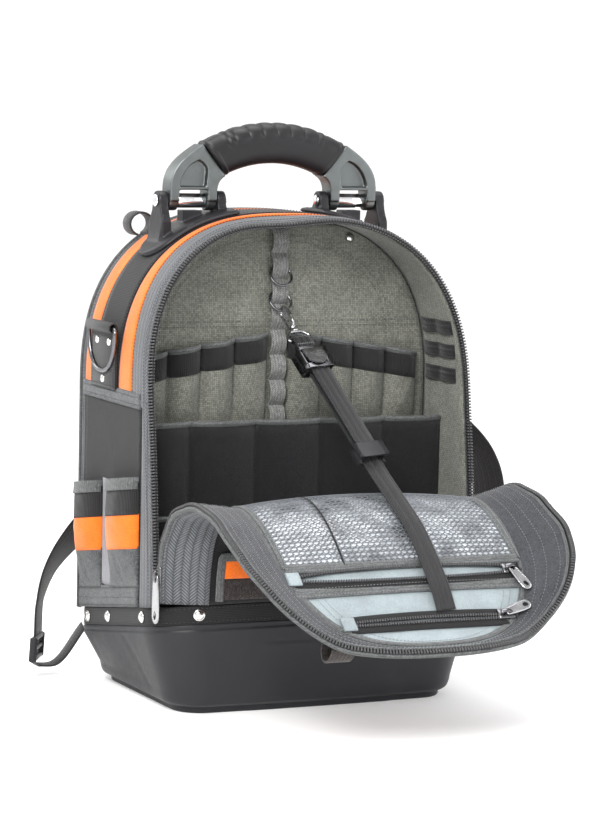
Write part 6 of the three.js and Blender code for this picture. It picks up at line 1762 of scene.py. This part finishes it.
# Each light: name, place, target, size, power and colour
LIGHTS = [("key", (-1.5, -1.9, 2.0), (0, 0, 0.25), (1.1, 1.1), 86, (1, 0.99, 0.97)),
          ("fill", (2.2, -1.8, 1.1), (0, 0, 0.25), (1.6, 1.6), 20, (1, 1, 1)),
          ("top", (0.2, 0.2, 2.3), (0, 0, 0.2), (1.6, 1.6), 34, (1, 1, 1)),
          ("rim", (-1.2, 1.6, 1.4), (0, 0, 0.3), (0.8, 1.2), 14, (1, 1, 1))]
WORLD_STRENGTH, FLOOR_GLOW = 0.72, 0.24


def put(name, data):
    obj = bpy.data.objects.new(name, data)
    bpy.context.scene.collection.objects.link(obj)
    return obj


def build_camera():
    yaw, pitch, roll = (math.radians(angle) for angle in (CAMERA_YAW, CAMERA_PITCH, CAMERA_ROLL))
    ahead = Vector((math.sin(yaw) * math.cos(pitch), math.cos(yaw) * math.cos(pitch), -math.sin(pitch)))
    right = Vector((math.cos(yaw), -math.sin(yaw), 0))
    up = right.cross(ahead)
    right, up = (right * math.cos(roll) + up * math.sin(roll), -right * math.sin(roll) + up * math.cos(roll))
    data = bpy.data.cameras.new("camera")
    camera = put("camera", data)
    rows = [(right[k], up[k], -ahead[k], CAMERA_PLACE[k]) for k in range(3)]
    camera.matrix_world = Matrix(rows + [(0, 0, 0, 1)])
    data.sensor_fit = "VERTICAL"
    data.sensor_height = SENSOR
    data.sensor_width = SENSOR
    data.lens = FOCAL_PIXELS / PICTURE_HEIGHT * SENSOR
    bpy.context.scene.camera = camera


def build_floor():
    """A wide round bowl, so that the same pale floor is behind the pack from every side."""
    white = Shade("floor_paper", (0.86, 0.86, 0.86), 0.9, specular=0.1)
    white.tint(white.stretch(white.noise(400, 2), 0.99, 1.01))
    white.shader.inputs["Emission Color"].default_value = (1, 1, 1, 1)
    white.shader.inputs["Emission Strength"].default_value = FLOOR_GLOW
    flat, bend = FLOOR_RADIUS - FLOOR_BEND, FLOOR_BEND
    profile = [(r, 0.0) for r in np.linspace(1, flat, 12)]
    profile += [(flat + bend * math.sin(t), bend - bend * math.cos(t)) for t in np.linspace(0.1,
                                                                                            math.pi / 2, 12)]
    profile.append((FLOOR_RADIUS, FLOOR_HEIGHT))
    points, faces, _, _ = lathe_shape(profile, (0, 0, 0), (0, 0, 1), (1, 0, 0), 96)
    mesh = bpy.data.meshes.new("floor")
    mesh.from_pydata((points * MM).tolist(), [], faces[:-1])
    mesh.materials.append(white.material)
    mesh.polygons.foreach_set("use_smooth", np.ones(len(mesh.polygons), bool))
    put("floor", mesh)


def build_stage():
    build_camera()
    build_floor()
    for name, place, target, size, power, colour in LIGHTS:
        light = bpy.data.lights.new(name, "AREA")
        light.shape = "RECTANGLE"
        light.size, light.size_y = size
        light.energy = power
        light.color = colour
        obj = put(name, light)
        obj.location = place
        obj.rotation_mode = "QUATERNION"
        obj.rotation_quaternion = (Vector(target) - Vector(place)).to_track_quat("-Z", "Y")
    world = bpy.data.worlds.new("studio")
    bpy.context.scene.world = world
    world.use_nodes = True
    back = world.node_tree.nodes["Background"]
    back.inputs["Color"].default_value = (1, 1, 1, 1)
    back.inputs["Strength"].default_value = WORLD_STRENGTH
    bpy.context.scene.view_settings.view_transform = "Standard"


build_stage()
build_base()
build_shell()
build_flap()
build_inside()
build_sides()
build_handle()
build_support_strap()
build_pulls()
build_back()
build_loops()
